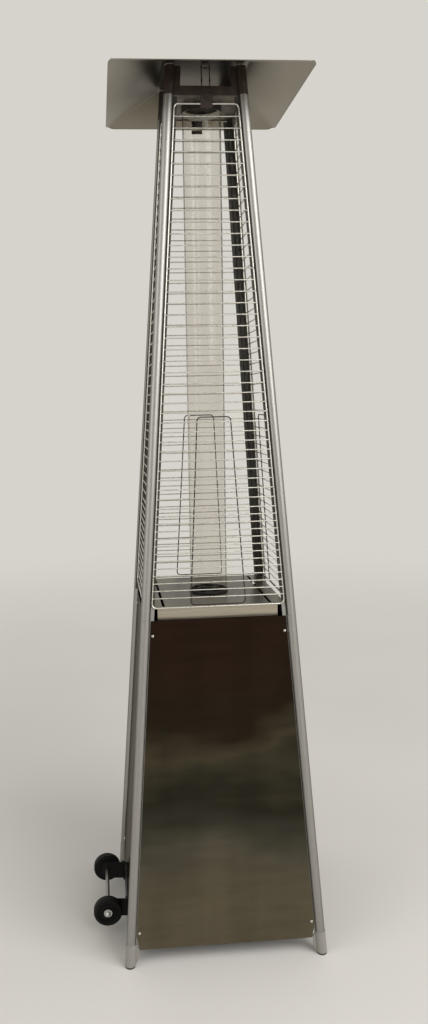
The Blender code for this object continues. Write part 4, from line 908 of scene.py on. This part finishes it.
fascia = bmesh.new()
low_half, high_half = leg_line(FASCIA_LOW) - PANEL_EDGE, leg_line(PANEL_TOP) - PANEL_EDGE
outline = [(low_half, FASCIA_LOW), (high_half, PANEL_TOP), (-high_half, PANEL_TOP), (-low_half, FASCIA_LOW)]
holes = [circle(0.0103, 0, along(VALVE_HEIGHT)), circle(0.0083, IGNITER_X, along(VALVE_HEIGHT))]
cut_sheet(fascia, [outline, *holes], SHEET, SKIN)
add_lips(fascia, FASCIA_LOW, PANEL_TOP)
finish_piece(
    "control_fascia_sheet", fascia, [panel_steel_painted_reflections], ["control_fascia"],
    face_matrix(RIGHT),
)
screws = screw_pairs((0.8085, 0.8865))
finish_piece("fascia_screws", screws, [bright_zinc], [], face_matrix(RIGHT))

marks = bmesh.new()
for step in range(9):
    angle = math.radians(90 - step * 25)
    x, y = SCALE_RADIUS * math.cos(angle), SCALE_RADIUS * math.sin(angle)
    rod(marks, 0.0006 + 0.00012 * step, (x, y, -SKIN_OUTER), (x, y, INK - SKIN_OUTER), 20)
for digit, x, y in (("0", 0, 0.0335), ("1", 0.0345, 0.004), ("2", -0.0325, -0.0225)):
    text = bpy.data.curves.new("digit", "FONT")
    text.body = digit
    text.size = 0.008
    text.align_x = "CENTER"
    text.align_y = "CENTER"
    text.extrude = INK / 2
    joined(marks, meshed_curve(text), Matrix.Translation((x, y, INK / 2 - SKIN_OUTER)))
finish_piece("fascia_scale", marks, [scale_ink], [], OUT_OF_FACE)

knob_profile = [
    (0.0043, 0), (0.0205, 0), (0.0220, 0.0012), (0.0220, 0.0034), (0.0212, 0.0042), (0.0190, 0.0118),
    (0.0175, 0.0130), (0, 0.0130), (0, 0.0125), (0.0043, 0.0125),
]
knob = lathe(knob_profile, 96, True)
block(knob, (-0.0045, -0.0160, 0.010), (0.0045, 0.0160, 0.020), 0.0015, 4)
finish_piece("control_knob", knob, [phenolic], ["knob"], KNOB_SEAT, body="knob_body")
pointer = bmesh.new()
block(pointer, (-0.0005, 0.004, 0.0198), (0.0005, 0.0150, 0.02008), 0.00005, 1)
finish_piece("knob_pointer", pointer, [scale_ink], [], KNOB_SEAT, body="knob_body")

igniter_profile = [
    (0, -0.032), (0.0075, -0.032), (0.0080, -0.0315), (0.0080, 0), (0.0110, 0), (0.0115, 0.0006),
    (0.0113, 0.0015), (0.0100, 0.0028), (0.0094, 0.0030), (0.0053, 0.0030), (0.0053, -0.0118),
    (0, -0.0118),
]
finish_piece(
    "igniter_housing", lathe(igniter_profile), [phenolic], ["igniter_body"], IGNITER_SEAT
)

button_profile = [
    (0, -0.0055), (0.0050, -0.0055), (0.0050, 0.0094), (0.0047, 0.0101), (0.0040, 0.0105),
    (0.0030, 0.0102), (0, 0.0099),
]
finish_piece(
    "igniter_push_button", lathe(button_profile, 32), [phenolic], ["igniter_button"],
    IGNITER_SEAT, body="button_body",
)


# Door under the fascia, with two hinges, a bar handle and a magnet that holds it shut. The door is a
# folded tray of the panels' sheet, and each zinc-plated hinge turns on its own pin.
HINGE_LINE = 0.026
HINGE_BARREL = 0.003
HINGE_PIN = 0.0015
KNUCKLE = 0.018
DOOR_TOP = 0.796
RETURN_WALL = 0.001
GRIP_REACH, GRIP_HALF, GRIP_BEND = 0.032, 0.060, 0.014
HINGE_TURN = Matrix.Rotation(math.atan(math.sin(TILT)), 4, "Y")
HINGE = Matrix.Translation((HINGE_LINE - FOOT_SPREAD, -0.00405, 0)) @ HINGE_TURN


def bent_wire(shape, points, radius, closed=False, sides=3):
    """A round wire along a path; sides sets how finely its section is drawn."""
    curve = bpy.data.curves.new("wire", "CURVE")
    curve.dimensions = "3D"
    curve.bevel_depth = radius
    curve.bevel_resolution = sides
    curve.use_fill_caps = True
    spline = curve.splines.new("POLY")
    spline.points.add(len(points) - 1)
    for point, place in zip(spline.points, points):
        point.co = (*place, 1)
    spline.use_cyclic_u = closed
    joined(shape, meshed_curve(curve))


def door_band(bottom, top, hinge_edge, free_edge):
    """An outline between two heights of the door, set in from both leg lines."""
    return [
        (leg_line(bottom) - free_edge, bottom),
        (leg_line(top) - free_edge, top),
        (hinge_edge - leg_line(top), top),
        (hinge_edge - leg_line(bottom), bottom),
    ]


# Chromium plate: a bright bluish mirror with a faint haze of fingermarks, about 5 mm across.
chrome_plate = grained_finish(
    "polished_chromium_plate",
    {"Metallic": 1},
    per_mm(5),
    [(0.3, "BFC0BF"), (0.7, "D3D4D3")],
    gloss=(0.06, 0.18),
)

# Sintered ferrite: charcoal grey with a dry grain.
ferrite = grained_finish(
    "sintered_ferrite", {"IOR": 1.6, "Roughness": 0.6}, per_mm(0.6), [(0.3, "262626"), (0.7, "3A3938")]
)

door = bmesh.new()
hinge_edge = HINGE_LINE + HINGE_BARREL + 0.0006
door_high = along(DOOR_TOP)
free_edge = [RIGHT_EDGE[0], RIGHT_EDGE[1], (leg_line(door_high) - PANEL_EDGE, door_high)]
hinge_side = [(hinge_edge - leg_line(slope), slope) for slope in (door_high, PANEL_BOTTOM)]
slab(door, [*free_edge, *hinge_side], SHEET, SKIN, 0.0003)
outer, inner = (
    door_band(PANEL_BOTTOM + inset, door_high - inset, hinge_edge + inset, 0.0225 + inset)
    for inset in (0.0015, 0.0015 + RETURN_WALL)
)
wall_front, wall_back = SKIN_INNER - 0.0005, LIP_DEPTH
wall_middle = Matrix.Translation((0, (wall_front + wall_back) / 2, 0))
cut_sheet(door, [outer, inner], wall_back - wall_front, wall_middle @ LOOK_OUT, 0.0001)
for hinge_name, bottom in (("lower", 0.130), ("upper", DOOR_TOP - 0.106)):
    low = along(bottom)
    fixed = bmesh.new()
    rod(fixed, HINGE_BARREL, (0, 0, low), (0, 0, low + KNUCKLE))
    pin_top = low + 2 * KNUCKLE
    rod(fixed, HINGE_PIN, (0, 0, low - 0.0007), (0, 0, pin_top + 0.0010), 20)
    rod(fixed, 0.0024, (0, 0, pin_top + 0.0004), (0, 0, pin_top + 0.0014), 24)
    block(fixed, (-0.0120, 0.0015, low + GAP), (0, 0.0027, low + KNUCKLE - GAP))
    finish_piece(
        "door_hinge_" + hinge_name, fixed, [bright_zinc], ["hinge_" + hinge_name],
        face_matrix(RIGHT) @ HINGE,
    )
    high = low + KNUCKLE + GAP
    knuckle = lathe(rectangle(HINGE_PIN + GAP, high, HINGE_BARREL, high + KNUCKLE), 32, True)
    block(knuckle, (0.001, 0.0015, high + GAP), (0.008, 0.0027, high + KNUCKLE - GAP))
    joined(door, knuckle, HINGE)
finish_piece(
    "door_tray", door, [panel_steel_painted_reflections], ["door"], face_matrix(RIGHT), body="door_body"
)

handle = bmesh.new()
handle_slope = along(DOOR_TOP - 0.196)
handle_x = leg_line(handle_slope) - 0.050
foot = SKIN_OUTER - GAP
front = foot - GRIP_REACH
grip = [(foot, -GRIP_HALF), (front, -GRIP_HALF), (front, GRIP_HALF), (foot, GRIP_HALF)]
path = [(handle_x, y, handle_slope + z) for y, z in arc_path(grip, [0, GRIP_BEND, GRIP_BEND, 0], 12)]
bent_wire(handle, path, 0.005, False, 6)
rosette = [(0, 0), (0.0078, 0), (0.0080, 0.0004), (0.0074, 0.0014), (0.0050, 0.0016), (0, 0.0016)]
for rise in (-GRIP_HALF, GRIP_HALF):
    seat = Matrix.Translation((handle_x, foot, handle_slope + rise)) @ LOOK_OUT
    joined(handle, lathe(rosette, 40), seat)
finish_piece(
    "door_bar_handle", handle, [chrome_plate], ["door_handle"], face_matrix(RIGHT),
    body="door_body",
)

magnet = bmesh.new()
magnet_top = along(SHELF_TOP - CONTROL_SKIRT - GAP + SHELF_INSET * math.sin(TILT))
block(magnet, (0.0805, 0.0090, magnet_top - 0.016), (0.1195, 0.0223, magnet_top), 0.0005)
for rise in (0.003, 0.012):
    low = magnet_top - 0.016 + rise
    block(magnet, (0.080, 0.0073, low - 0.0008), (0.120, 0.0223, low + 0.0008), 0.0002)
finish_piece("door_catch_magnet", magnet, [ferrite], ["door_magnet"], face_matrix(RIGHT))


# Flame tube. A clear borosilicate tube, 100 mm across with 3 mm walls and fire-polished rims, stands in
# a dark silicone ring on the table.
GLASS_RADIUS = 0.050
GLASS_BORE = 0.047
RING_BOTTOM = 2.182
SEAT_LOW = TABLE_TOP + GAP
GLASS_LOW, GLASS_HIGH = SEAT_LOW + 0.0018, RING_BOTTOM - 0.0125

# Borosilicate glass: colourless, with a light film of soot that is a little denser in tall streaks. The
# low index keeps the wires behind it straight, and the coat gives the soft upright glints.
flame_glass = grained_finish(
    "borosilicate_glass",
    {"IOR": 1.12, "Transmission Weight": 1, "Roughness": 0, "Coat Weight": 0.2, "Coat Roughness": 0.02},
    per_mm(60, 60, 400),
    [(0.3, "F0EEEA"), (0.7, "F5F3F0")],
)

# Silicone rubber: dark grey, matt and dusty.
dark_silicone = grained_finish(
    "dark_grey_silicone_rubber",
    {"IOR": 1.43, "Roughness": 0.6},
    per_mm(3),
    [(0.35, "1D1B19"), (0.75, "2F2C29")],
    detail=4,
)

seat_corners = [
    (GLASS_BORE, 0.0015), (GLASS_RADIUS + GAP, 0.0015), (GLASS_RADIUS + GAP, 0.0065),
    (GLASS_RADIUS + 0.0023, 0.0065), (GLASS_RADIUS + 0.0023, 0), (GLASS_BORE, 0),
]
seat_ring = lathe(arc_path(seat_corners, [0.0004, 0, 0.0006, 0.0008, 0.0003, 0.0003], 3), 96, True)
finish_piece(
    "glass_seat_ring", seat_ring, [dark_silicone], ["tube_seat"], at(0, 0, SEAT_LOW)
)
wall = rectangle(GLASS_BORE, GLASS_LOW, GLASS_RADIUS, GLASS_HIGH)
glass = lathe(arc_path(wall, [0.0013] * 4, 4), 128, True)
finish_piece("flame_glass", glass, [flame_glass], ["glass_tube"], at(0, 0, 0), sharp=60)


# Wire guards. Each is a frame of 4.5 mm wire with 3 mm cross wires welded to it, closer together
# towards the bottom, and a tall stiffening loop behind them. All of it is nickel plated.
GUARD_LOW, GUARD_HIGH = TABLE_TOP + 0.0015, RING_BOTTOM - 0.021
GUARD_EDGE = 0.0148
GUARD_DEPTH = -0.0033
FRAME_WIRE = 0.00225
WIRE = 0.0015
FIRST_WIRE = GUARD_HIGH - 0.030
PITCHES = ((23, 0.0281), (13, 0.0238), (12, 0.0187))
LOOP_LOW, LOOP_HIGH = TABLE_TOP + 0.0065, TABLE_TOP + 0.477
LOOP_FOOT, LOOP_HEAD = 0.070, 0.042
WELD_BEAD = 0.0024

# Satin nickel plate: a warm pale grey metal with soft clouds of duller plating.
satin_nickel = grained_finish(
    "satin_nickel_plate",
    {"Metallic": 1},
    per_mm(9),
    [(0.3, "C4C0B7"), (0.7, "DCD8CF")],
    gloss=(0.22, 0.36),
)

# The loops are brown-black.
dark_loop_nickel = grained_finish(
    "brown_black_nickel_plate",
    {"Metallic": 0.6, "Roughness": 0.5},
    per_mm(14),
    [(0.3, "26221E"), (0.7, "413A33")],
)


def wire_guard():
    """One guard in its face's own frame."""
    shape = bmesh.new()
    low, high = along(GUARD_LOW), along(GUARD_HIGH)
    low_half, high_half = leg_line(low) - GUARD_EDGE, leg_line(high) - GUARD_EDGE
    corners = [(-low_half, low), (low_half, low), (high_half, high), (-high_half, high)]
    bent_wire(shape, [(x, GUARD_DEPTH, z) for x, z in arc_path(corners, [0.011] * 4, 8)], FRAME_WIRE, True)
    height = FIRST_WIRE
    heights = [height]
    for count, pitch in PITCHES:
        for _ in range(count):
            height -= pitch
            heights.append(height)
    for height in heights:
        half = leg_line(along(height)) - GUARD_EDGE
        rod(shape, WIRE, (-half, GUARD_DEPTH, along(height)), (half, GUARD_DEPTH, along(height)), 12)
        for end in (-half, half):
            bead = Matrix.LocRotScale((end, GUARD_DEPTH, along(height)), None, Vector((1.15, 1.2, 1)))
            bmesh.ops.create_uvsphere(shape, u_segments=12, v_segments=8, radius=WELD_BEAD, matrix=bead)
    plated = len(shape.faces)
    low, high = along(LOOP_LOW), along(LOOP_HIGH)
    depth = GUARD_DEPTH + 2 * WIRE - 0.0004
    corners = [(-LOOP_FOOT, low), (LOOP_FOOT, low), (LOOP_HEAD, high), (-LOOP_HEAD, high)]
    bent_wire(shape, [(x, depth, z) for x, z in arc_path(corners, [0.010] * 4, 8)], WIRE, True, 2)
    for number, face in enumerate(shape.faces):
        face.material_index = int(number >= plated)
    return shape


for side_name, side in SIDES.items():
    finish_piece(
        "wire_guard_" + side_name, wire_guard(), [satin_nickel, dark_loop_nickel],
        ["guard_" + side_name], face_matrix(side), sharp=50,
    )


# Head. A ring of painted sheet is bent round the legs, with an ear up each leg and a spring clip over
# each guard. On it lie the plate with the flame outlet, the outlet's collar and the pierced screen.
RING_HEIGHT = 0.0225
RING_SHEET = 0.002
EAR = 0.0145
REACH = TUBE_RADIUS + GAP
CLIP_SHEET = 0.0012
OUTLET_RADIUS = 0.048
COLLAR_SHEET, COLLAR_HEIGHT = 0.0012, 0.016
SCREEN_RADIUS, SCREEN_SHEET = 0.056, 0.001
SCREEN_HOLE, SCREEN_PITCH, SCREEN_RINGS = 0.0022, 0.0072, 6
STAY_HALF, STAY_WIRE = 0.010, 0.0014
REFLECTOR_UNDER = 2.2575

# Sooty stainless sheet: a dull grey brown where the flame has licked it, in blots 20 mm across.
sooty_sheet = grained_finish(
    "sooty_stainless_sheet",
    {"Metallic": 0.7},
    per_mm(20),
    [(0.3, "625D53"), (0.7, "8C867C")],
    detail=5,
    gloss=(0.5, 0.65),
)

# The collar's lining is painted white, a painted reflection that stands for a bright band under the outlet
# plate. The collar's dark outside is painted shade.
collar_lining_painted_reflection = grained_finish(
    "painted_reflection_white_lining", {"IOR": 1.5, "Roughness": 0.4}, per_mm(6), [(0.3, "E6E4DE"), (0.7, "F4F3EF")]
)

ring = bmesh.new()
ring_low, ring_high, ear_top = along(RING_BOTTOM), along(RING_BOTTOM + RING_HEIGHT), along(LEG_TOP)
ring_half, band_half, ear_half = (leg_line(slope) - REACH for slope in (ring_low, ring_high, ear_top))
ear_inner = [(ear_half - EAR, ear_top), (band_half - EAR, ring_high)]
half_outline = [(ring_half, ring_low), (ear_half, ear_top), *ear_inner]
ring_corners = [(-ring_half, ring_low), *half_outline, *[(-x, z) for x, z in reversed(half_outline[1:])]]
ring_outline = arc_path(ring_corners, [0, 0, 0.001, 0.004, 0.003, 0.003, 0.004, 0.001], 5)
clip_inner = GUARD_DEPTH - FRAME_WIRE - GAP
clip_outer = clip_inner - CLIP_SHEET
clip_low, arm = along(RING_BOTTOM - 0.032), ring_low + CLIP_SHEET
clip_corners = [
    (clip_outer, clip_low), (clip_inner, clip_low), (clip_inner, arm), (0, arm), (0, arm + CLIP_SHEET),
    (clip_outer, arm + CLIP_SHEET),
]
clip_outline = arc_path(clip_corners, [0.0005, 0.0005, 0.0004, 0, 0, 0.0016], 4)
for side in range(4):
    bar = bmesh.new()
    slab(bar, ring_outline, RING_SHEET, LOOK_OUT, 0.0003)
    slab(bar, clip_outline, 0.030, ALONG_SIDE, 0.0002)
    for x in (-0.0085, 0.0085):
        rivet = lathe([(0, 0.0016), (0.0012, 0.0015), (0.0022, 0.0009), (0.0026, 0), (0, 0)], 20)
        joined(bar, rivet, Matrix.Translation((x, -RING_SHEET / 2, ring_low + 0.013)) @ LOOK_OUT)
    joined(ring, bar, face_matrix(side))
turns = [math.radians(angle) for angle in range(-45, 46, 6)]
bend_outline = []
for radius, run in ((REACH + RING_SHEET, turns), (REACH, turns[::-1])):
    bend_outline += [(radius * math.cos(turn), radius * math.sin(turn)) for turn in run]
for corner in CORNERS.values():
    bend = bmesh.new()
    inward = Matrix.Rotation(math.atan2(-corner[1], -corner[0]), 4, "Z")
    middle = Matrix.Translation((0, 0, RING_BOTTOM + RING_HEIGHT / 2)) @ inward
    slab(bend, bend_outline, RING_HEIGHT - 2 * RING_SHEET, middle, 0)
    joined(ring, bend, leg_matrix(corner))
finish_piece("head_ring_band", ring, [hot_paint], ["head_ring"])

plate_low = RING_BOTTOM + RING_SHEET
plate_top = plate_low + SHELF_SHEET
spread = leg_spread(plate_top)
plate_half = spread - RING_SHEET / 2 - GAP
near = 2 * spread - math.sqrt(2) * (REACH + GAP + RING_SHEET) - plate_half
outline = quarter_turns([(near, plate_half), (plate_half, near)])
outlet_plate = bmesh.new()
level = at(0, 0, plate_low + SHELF_SHEET / 2)
cut_sheet(outlet_plate, [outline, circle(OUTLET_RADIUS, steps=96)], SHELF_SHEET, level)
finish_piece("outlet_plate", outlet_plate, [sooty_sheet], ["head_plate"])
collar_bore, collar_top = GLASS_RADIUS + GAP, plate_low - GAP
wall = rectangle(collar_bore, collar_top - COLLAR_HEIGHT, collar_bore + COLLAR_SHEET, collar_top)
collar = lathe(arc_path(wall, [0.0004] * 4, 3), 96, True)
# Inner faces take the painted reflection, outer faces the dark steel as painted shade.
for face in collar.faces:
    face.material_index = int(face.calc_center_median().xy.length < collar_bore + COLLAR_SHEET / 4)
finish_piece(
    "glass_top_collar", collar, [scaled_steel, collar_lining_painted_reflection], ["glass_collar"], at(0, 0, 0)
)
screen = bmesh.new()
screen_holes = [circle(SCREEN_HOLE, steps=12)]
for ring_number in range(1, SCREEN_RINGS + 1):
    for x, y in circle(ring_number * SCREEN_PITCH, steps=6 * ring_number):
        screen_holes.append(circle(SCREEN_HOLE, x, y, 12))
level = at(0, 0, plate_top + GAP + SCREEN_SHEET / 2)
cut_sheet(screen, [circle(SCREEN_RADIUS, steps=96), *screen_holes], SCREEN_SHEET, level)
finish_piece("pierced_flame_screen", screen, [scaled_steel], ["flame_screen"])
stay = bmesh.new()
stay_foot = along(RING_BOTTOM + RING_HEIGHT) + GAP
stay_top = along(REFLECTOR_UNDER - GAP - STAY_WIRE * (1 + LEAN))
bow = [(-STAY_HALF, stay_foot), (-STAY_HALF, stay_top), (STAY_HALF, stay_top), (STAY_HALF, stay_foot)]
bent_wire(stay, [(x, 0, z) for x, z in arc_path(bow, [0, 0.004, 0.004, 0], 6)], STAY_WIRE)
for x in (-STAY_HALF, STAY_HALF):
    rod(stay, 0.0022, (x, 0, stay_foot + 0.010), (x, 0, stay_foot + 0.015), 20)
bar_height = stay_top - 0.009
for radius, reach, sides in ((0.0012, STAY_HALF, 16), (0.0026, 0.003, 20)):
    rod(stay, radius, (-reach, 0, bar_height), (reach, 0, bar_height), sides)
finish_piece("centre_stay_bow", stay, [hot_paint], ["centre_stay"], face_matrix(FRONT))


# Reflector and its posts. A zinc-plated post plugs each leg, and its stud carries the reflector, which
# is pressed from 1 mm sheet into a flat-topped pyramid with soft folds and a rolled rim.
REFLECTOR_HALF = 0.2406
REFLECTOR_FLAT = 0.1045
REFLECTOR_RIM = 2.2065
REFLECTOR_SHEET = 0.001
RIM_WIRE = 0.0009
RIM_CORNER, RIM_CORNER_STEPS = 0.0241, 12
FOLD_RADIUS = 0.004

# Satin stainless sheet, slightly olive, in clouds 120 mm across, with painted shade in a darker ring round
# the leg tops and lighter towards the rim.
reflector_steel_painted_shade = centre_toned_sheet(
    "satin_reflector_painted_shade",
    {"Scale": (1, 1, 0)},
    per_mm(120),
    detail=2,
    drift=0.04,
    tones=[(0.06, "6E685C"), (0.13, "5B554A"), (0.19, "7E7769"), (0.27, "958F82")],
    gloss=(0.3, 0.42),
)

stud_top = REFLECTOR_UNDER - GAP - LEG_TOP
post_profile = [
    (0, -0.022), (0.0102, -0.022), (0.0107, -0.0215), (0.0107, GAP), (0.0121, GAP), (0.0125, 0.0007),
    (0.0125, 0.0018), (0.0120, 0.0023), (0.005, 0.0023), (0.005, stud_top), (0, stud_top),
]
for corner_name, corner in CORNERS.items():
    post = lathe([(radius, LEG_TOP + rise) for radius, rise in post_profile])
    post_node = "reflector_post_" + corner_name
    finish_piece(
        "reflector_stud_" + corner_name, post, [bright_zinc], [post_node], leg_matrix(corner)
    )

reflector_slope = (REFLECTOR_UNDER - REFLECTOR_RIM) / (REFLECTOR_HALF - REFLECTOR_FLAT)


def reflector_height(x, y):
    """The height of the reflector's underside at a place."""
    return REFLECTOR_UNDER - reflector_slope * max(max(abs(x), abs(y)) - REFLECTOR_FLAT, 0)


shell = bmesh.new()
half, flat = REFLECTOR_HALF - RIM_WIRE, REFLECTOR_FLAT
rim = arc_path(rectangle(-half, -half, half, half), [RIM_CORNER] * 4, RIM_CORNER_STEPS)
rim_verts = [shell.verts.new((x, y, reflector_height(x, y))) for x, y in rim]
top_verts = [shell.verts.new((x, y, REFLECTOR_UNDER)) for x, y in rectangle(-flat, -flat, flat, flat)]
shell.faces.new(top_verts)
per_corner = RIM_CORNER_STEPS + 1
for side in range(4):
    start = side * per_corner + per_corner // 2
    run = [rim_verts[(start + step) % len(rim_verts)] for step in range(per_corner + 1)]
    shell.faces.new([top_verts[side], *run, top_verts[(side + 1) % 4]])
bmesh.ops.recalc_face_normals(shell, faces=shell.faces)
folds = [line for line in shell.edges if len(line.link_faces) == 2]
rounded = {"offset": FOLD_RADIUS, "offset_type": "OFFSET", "segments": 4, "profile": 0.5}
bmesh.ops.bevel(shell, geom=folds, affect="EDGES", material=-1, **rounded)
if sum(face.normal.z for face in shell.faces) < 0:
    bmesh.ops.reverse_faces(shell, faces=shell.faces)
bmesh.ops.solidify(shell, geom=list(shell.faces), thickness=-REFLECTOR_SHEET)
bent_wire(shell, [(x, y, reflector_height(x, y) + GAP) for x, y in rim], RIM_WIRE, True)
finish_piece(
    "reflector_pyramid", shell, [reflector_steel_painted_shade], ["reflector"], at(0, 0, 0), sharp=25
)


# Wheels. Two black rubber wheels turn on a steel rod in a black enamelled bracket on the left panel.
# Each is moulded with raised rings and held by a chromed dome nut.
AXLE = face_matrix(LEFT).inverted() @ Vector((AXIS_X - FOOT_SPREAD - 0.0533, 0, 0.0657))
AXLE_FRAME = face_matrix(LEFT) @ Matrix.Translation(AXLE)
AXLE_RADIUS = 0.0055
AXLE_BORE = AXLE_RADIUS + GAP
WHEEL_PLACE = 0.1086
WHEEL_OUT = 0.1206
BRACKET_SHEET = 0.003
BRACKET_HALF = 0.025
DOME_RADIUS = 0.0071

# Tyre rubber: soft black with pale dust in the grooves of the moulding and a fine grain.
tyre_rubber = grained_finish(
    "moulded_tyre_rubber",
    {"IOR": 1.5, "Specular IOR Level": 0.2},
    per_mm(14),
    [(0.35, "090909"), (0.6, "0F0F0F"), (0.8, "201F1D")],
    detail=5,
    gloss=(0.5, 0.72),
    relief=(0.3, 0.00005),
    skin=(per_mm(0.7), 3),
)

# Cold-drawn steel rod, oiled and dulled: mid grey with drawing lines along it.
drawn_rod = grained_finish(
    "oiled_drawn_steel_rod",
    {"Metallic": 1, "Roughness": 0.4},
    per_mm(1.5, 60, 1.5),
    [(0.3, "8E8D87"), (0.7, "AAA9A2")],
)

bracket = bmesh.new()
plate_back = SKIN_OUTER - GAP - AXLE.y
plate_front = plate_back - BRACKET_SHEET
ear_corners = rectangle(-0.014, -BRACKET_HALF, plate_back, BRACKET_HALF)
ear_outline = arc_path(ear_corners, [0.0139, 0, 0, 0.0139], 10)
for ear_x in (-0.0915, 0.0915):
    place = Matrix.Translation((ear_x, 0, 0)) @ ALONG_SIDE
    cut_sheet(bracket, [ear_outline, circle(AXLE_BORE, steps=32)], BRACKET_SHEET, place, 0.0004)
block(bracket, (-0.0925, plate_front, -BRACKET_HALF), (0.0925, plate_back, BRACKET_HALF), 0.0006)
for x in (-0.070, 0.070):
    for z in (-0.012, 0.012):
        bolt = lathe([(0, 0.0009), (0.0078, 0.0009), (0.0080, 0.0006), (0.0080, 0), (0, 0)], 32)
        rod(bolt, 0.0062, (0, 0, 0.0009), (0, 0, 0.0046), 6)
        joined(bracket, bolt, Matrix.Translation((x, plate_front, z)) @ LOOK_OUT)
finish_piece("axle_bracket", bracket, [black_enamel], ["wheel_bracket"], AXLE_FRAME)
axle = bmesh.new()
rod(axle, AXLE_RADIUS, (-WHEEL_OUT - 0.006, 0, 0), (WHEEL_OUT + 0.006, 0, 0))
finish_piece("axle_rod", axle, [drawn_rod], ["axle"], AXLE_FRAME)

wheel_shape = [
    (AXLE_BORE, 0.0120, 0), (0.0100, 0.0120, 0.0008), (0.0104, 0.0080, 0.0004),
    (0.0150, 0.0080, 0.0004), (0.0158, 0.0092, 0.0003), (0.0172, 0.0092, 0.0003),
    (0.0180, 0.0080, 0.0003), (0.0215, 0.0080, 0.0003), (0.0223, 0.0092, 0.0003),
    (0.0237, 0.0092, 0.0003), (0.0245, 0.0080, 0.0003), (0.0265, 0.0080, 0.0004),
    (0.0290, 0.0120, 0.0008), (0.0390, 0.0120, 0.005), (0.0390, -0.0120, 0.005),
    (0.0100, -0.0120, 0), (0.0100, -0.0153, 0.0004), (AXLE_BORE, -0.0153, 0),
]
wheel_corners = [(radius, depth) for radius, depth, _ in wheel_shape]
wheel_path = arc_path(wheel_corners, [turn for *_, turn in wheel_shape], 5)
washer = [(AXLE_BORE, GAP), (0.0112, GAP), (0.0114, 0.0006), (0.0112, 0.0012), (AXLE_BORE, 0.0012)]
dome = [(0, 0.0060), (DOME_RADIUS, 0.0060)]
for step in range(8):
    angle = math.pi / 2 * step / 8
    dome.append((DOME_RADIUS * math.cos(angle), 0.0063 + 0.005 * math.sin(angle)))
dome.append((0, 0.0113))
for wheel_name, sign in (("front", 1), ("back", -1)):
    outwards = Matrix.Rotation(sign * math.pi / 2, 4, "Y")
    centre = Matrix.Translation((sign * WHEEL_PLACE, 0, 0)) @ outwards
    finish_piece(
        "rubber_wheel_" + wheel_name, lathe(wheel_path, 96, True), [tyre_rubber],
        ["wheel_" + wheel_name], AXLE_FRAME @ centre, body=wheel_name + "_wheel_body",
    )
    nut = lathe(washer, 48, True)
    rod(nut, 0.0085, (0, 0, 0.0012), (0, 0, 0.0066), 6)
    joined(nut, lathe(dome))
    seat = Matrix.Translation((sign * WHEEL_OUT, 0, 0)) @ outwards
    finish_piece(
        "dome_nut_" + wheel_name, nut, [chrome_plate], ["hub_nut_" + wheel_name],
        AXLE_FRAME @ seat,
    )


# Studio. A pale matt floor fades into an even surround of the same tone, so no horizon shows, and it
# keeps the heater's shadow. A large soft light stands high on the right and a weaker one on the left.
SURROUND = "D6D3CC"
studio_floor = new_material("matt_pale_floor")
where = add_node(studio_floor, "ShaderNodeTexCoord").outputs["Object"]
sized = add_node(studio_floor, "ShaderNodeMapping", {"Scale": per_mm(900)}, {"Vector": where})
cloud = add_node(studio_floor, "ShaderNodeTexNoise", {"Scale": 1, "Detail": 2}, {"Vector": sized})
floor_tones = [(0.3, "D8D5CF"), (0.7, "DDDAD5")]
tone = add_node(studio_floor, "ShaderNodeValToRGB", {"stops": floor_tones}, {"Fac": cloud})
matt = add_node(studio_floor, "ShaderNodeBsdfPrincipled", {"Roughness": 0.85}, {"Base Color": tone})
distance = add_node(studio_floor, "ShaderNodeVectorMath", {"operation": "LENGTH"}, {0: where})
fade_range = {"From Min": 0.6, "From Max": 6.0, "interpolation_type": "SMOOTHSTEP"}
fade = add_node(studio_floor, "ShaderNodeMapRange", fade_range, {"Value": distance.outputs["Value"]})
far = add_node(studio_floor, "ShaderNodeEmission", {"Color": linear_colour(SURROUND), "Strength": 1})
mix = add_node(studio_floor, "ShaderNodeMixShader", None, {0: fade, 1: matt, 2: far})
add_node(studio_floor, "ShaderNodeOutputMaterial", None, {"Surface": mix})
floor_shape = bmesh.new()
bmesh.ops.create_grid(floor_shape, x_segments=1, y_segments=1, size=60)
floor_mesh = bpy.data.meshes.new("studio_floor")
floor_shape.to_mesh(floor_mesh)
floor_shape.free()
floor_mesh.materials.append(studio_floor)
floor = bpy.data.objects.new("studio_floor", floor_mesh)
bpy.context.scene.collection.objects.link(floor)

world = bpy.data.worlds.new("studio")
bpy.context.scene.world = world
world.use_nodes = True
world.node_tree.nodes.clear()
rays = add_node(world, "ShaderNodeLightPath").outputs
either = {0: rays["Is Camera Ray"], 1: rays["Is Glossy Ray"]}
direct = add_node(world, "ShaderNodeMath", {"operation": "MAXIMUM"}, either)
through = {0: direct, 1: rays["Is Transmission Ray"]}
seen = add_node(world, "ShaderNodeMath", {"operation": "MAXIMUM"}, through)
light = add_node(world, "ShaderNodeBackground", {"Color": linear_colour("E8E6E2"), "Strength": 0.7})
backdrop = add_node(world, "ShaderNodeBackground", {"Color": linear_colour(SURROUND), "Strength": 1})
mix = add_node(world, "ShaderNodeMixShader", None, {0: seen, 1: light, 2: backdrop})
add_node(world, "ShaderNodeOutputWorld", None, {"Surface": mix})

softboxes = (("key_softbox", (2.8, -3.2, 3.6), 4.2, 190), ("fill_softbox", (-3.6, -2.2, 2.6), 3.0, 40))
for name, place, size, power in softboxes:
    softbox = bpy.data.lights.new(name, "AREA")
    softbox.shape = "SQUARE"
    softbox.size = size
    softbox.energy = power
    lamp = bpy.data.objects.new(name, softbox)
    aim = Vector((AXIS_X, 0, 1.2)) - Vector(place)
    lamp.matrix_world = Matrix.Translation(place) @ aim.to_track_quat("-Z", "Y").to_matrix().to_4x4()
    bpy.context.scene.collection.objects.link(lamp)
bpy.context.scene.view_settings.view_transform = "Standard"
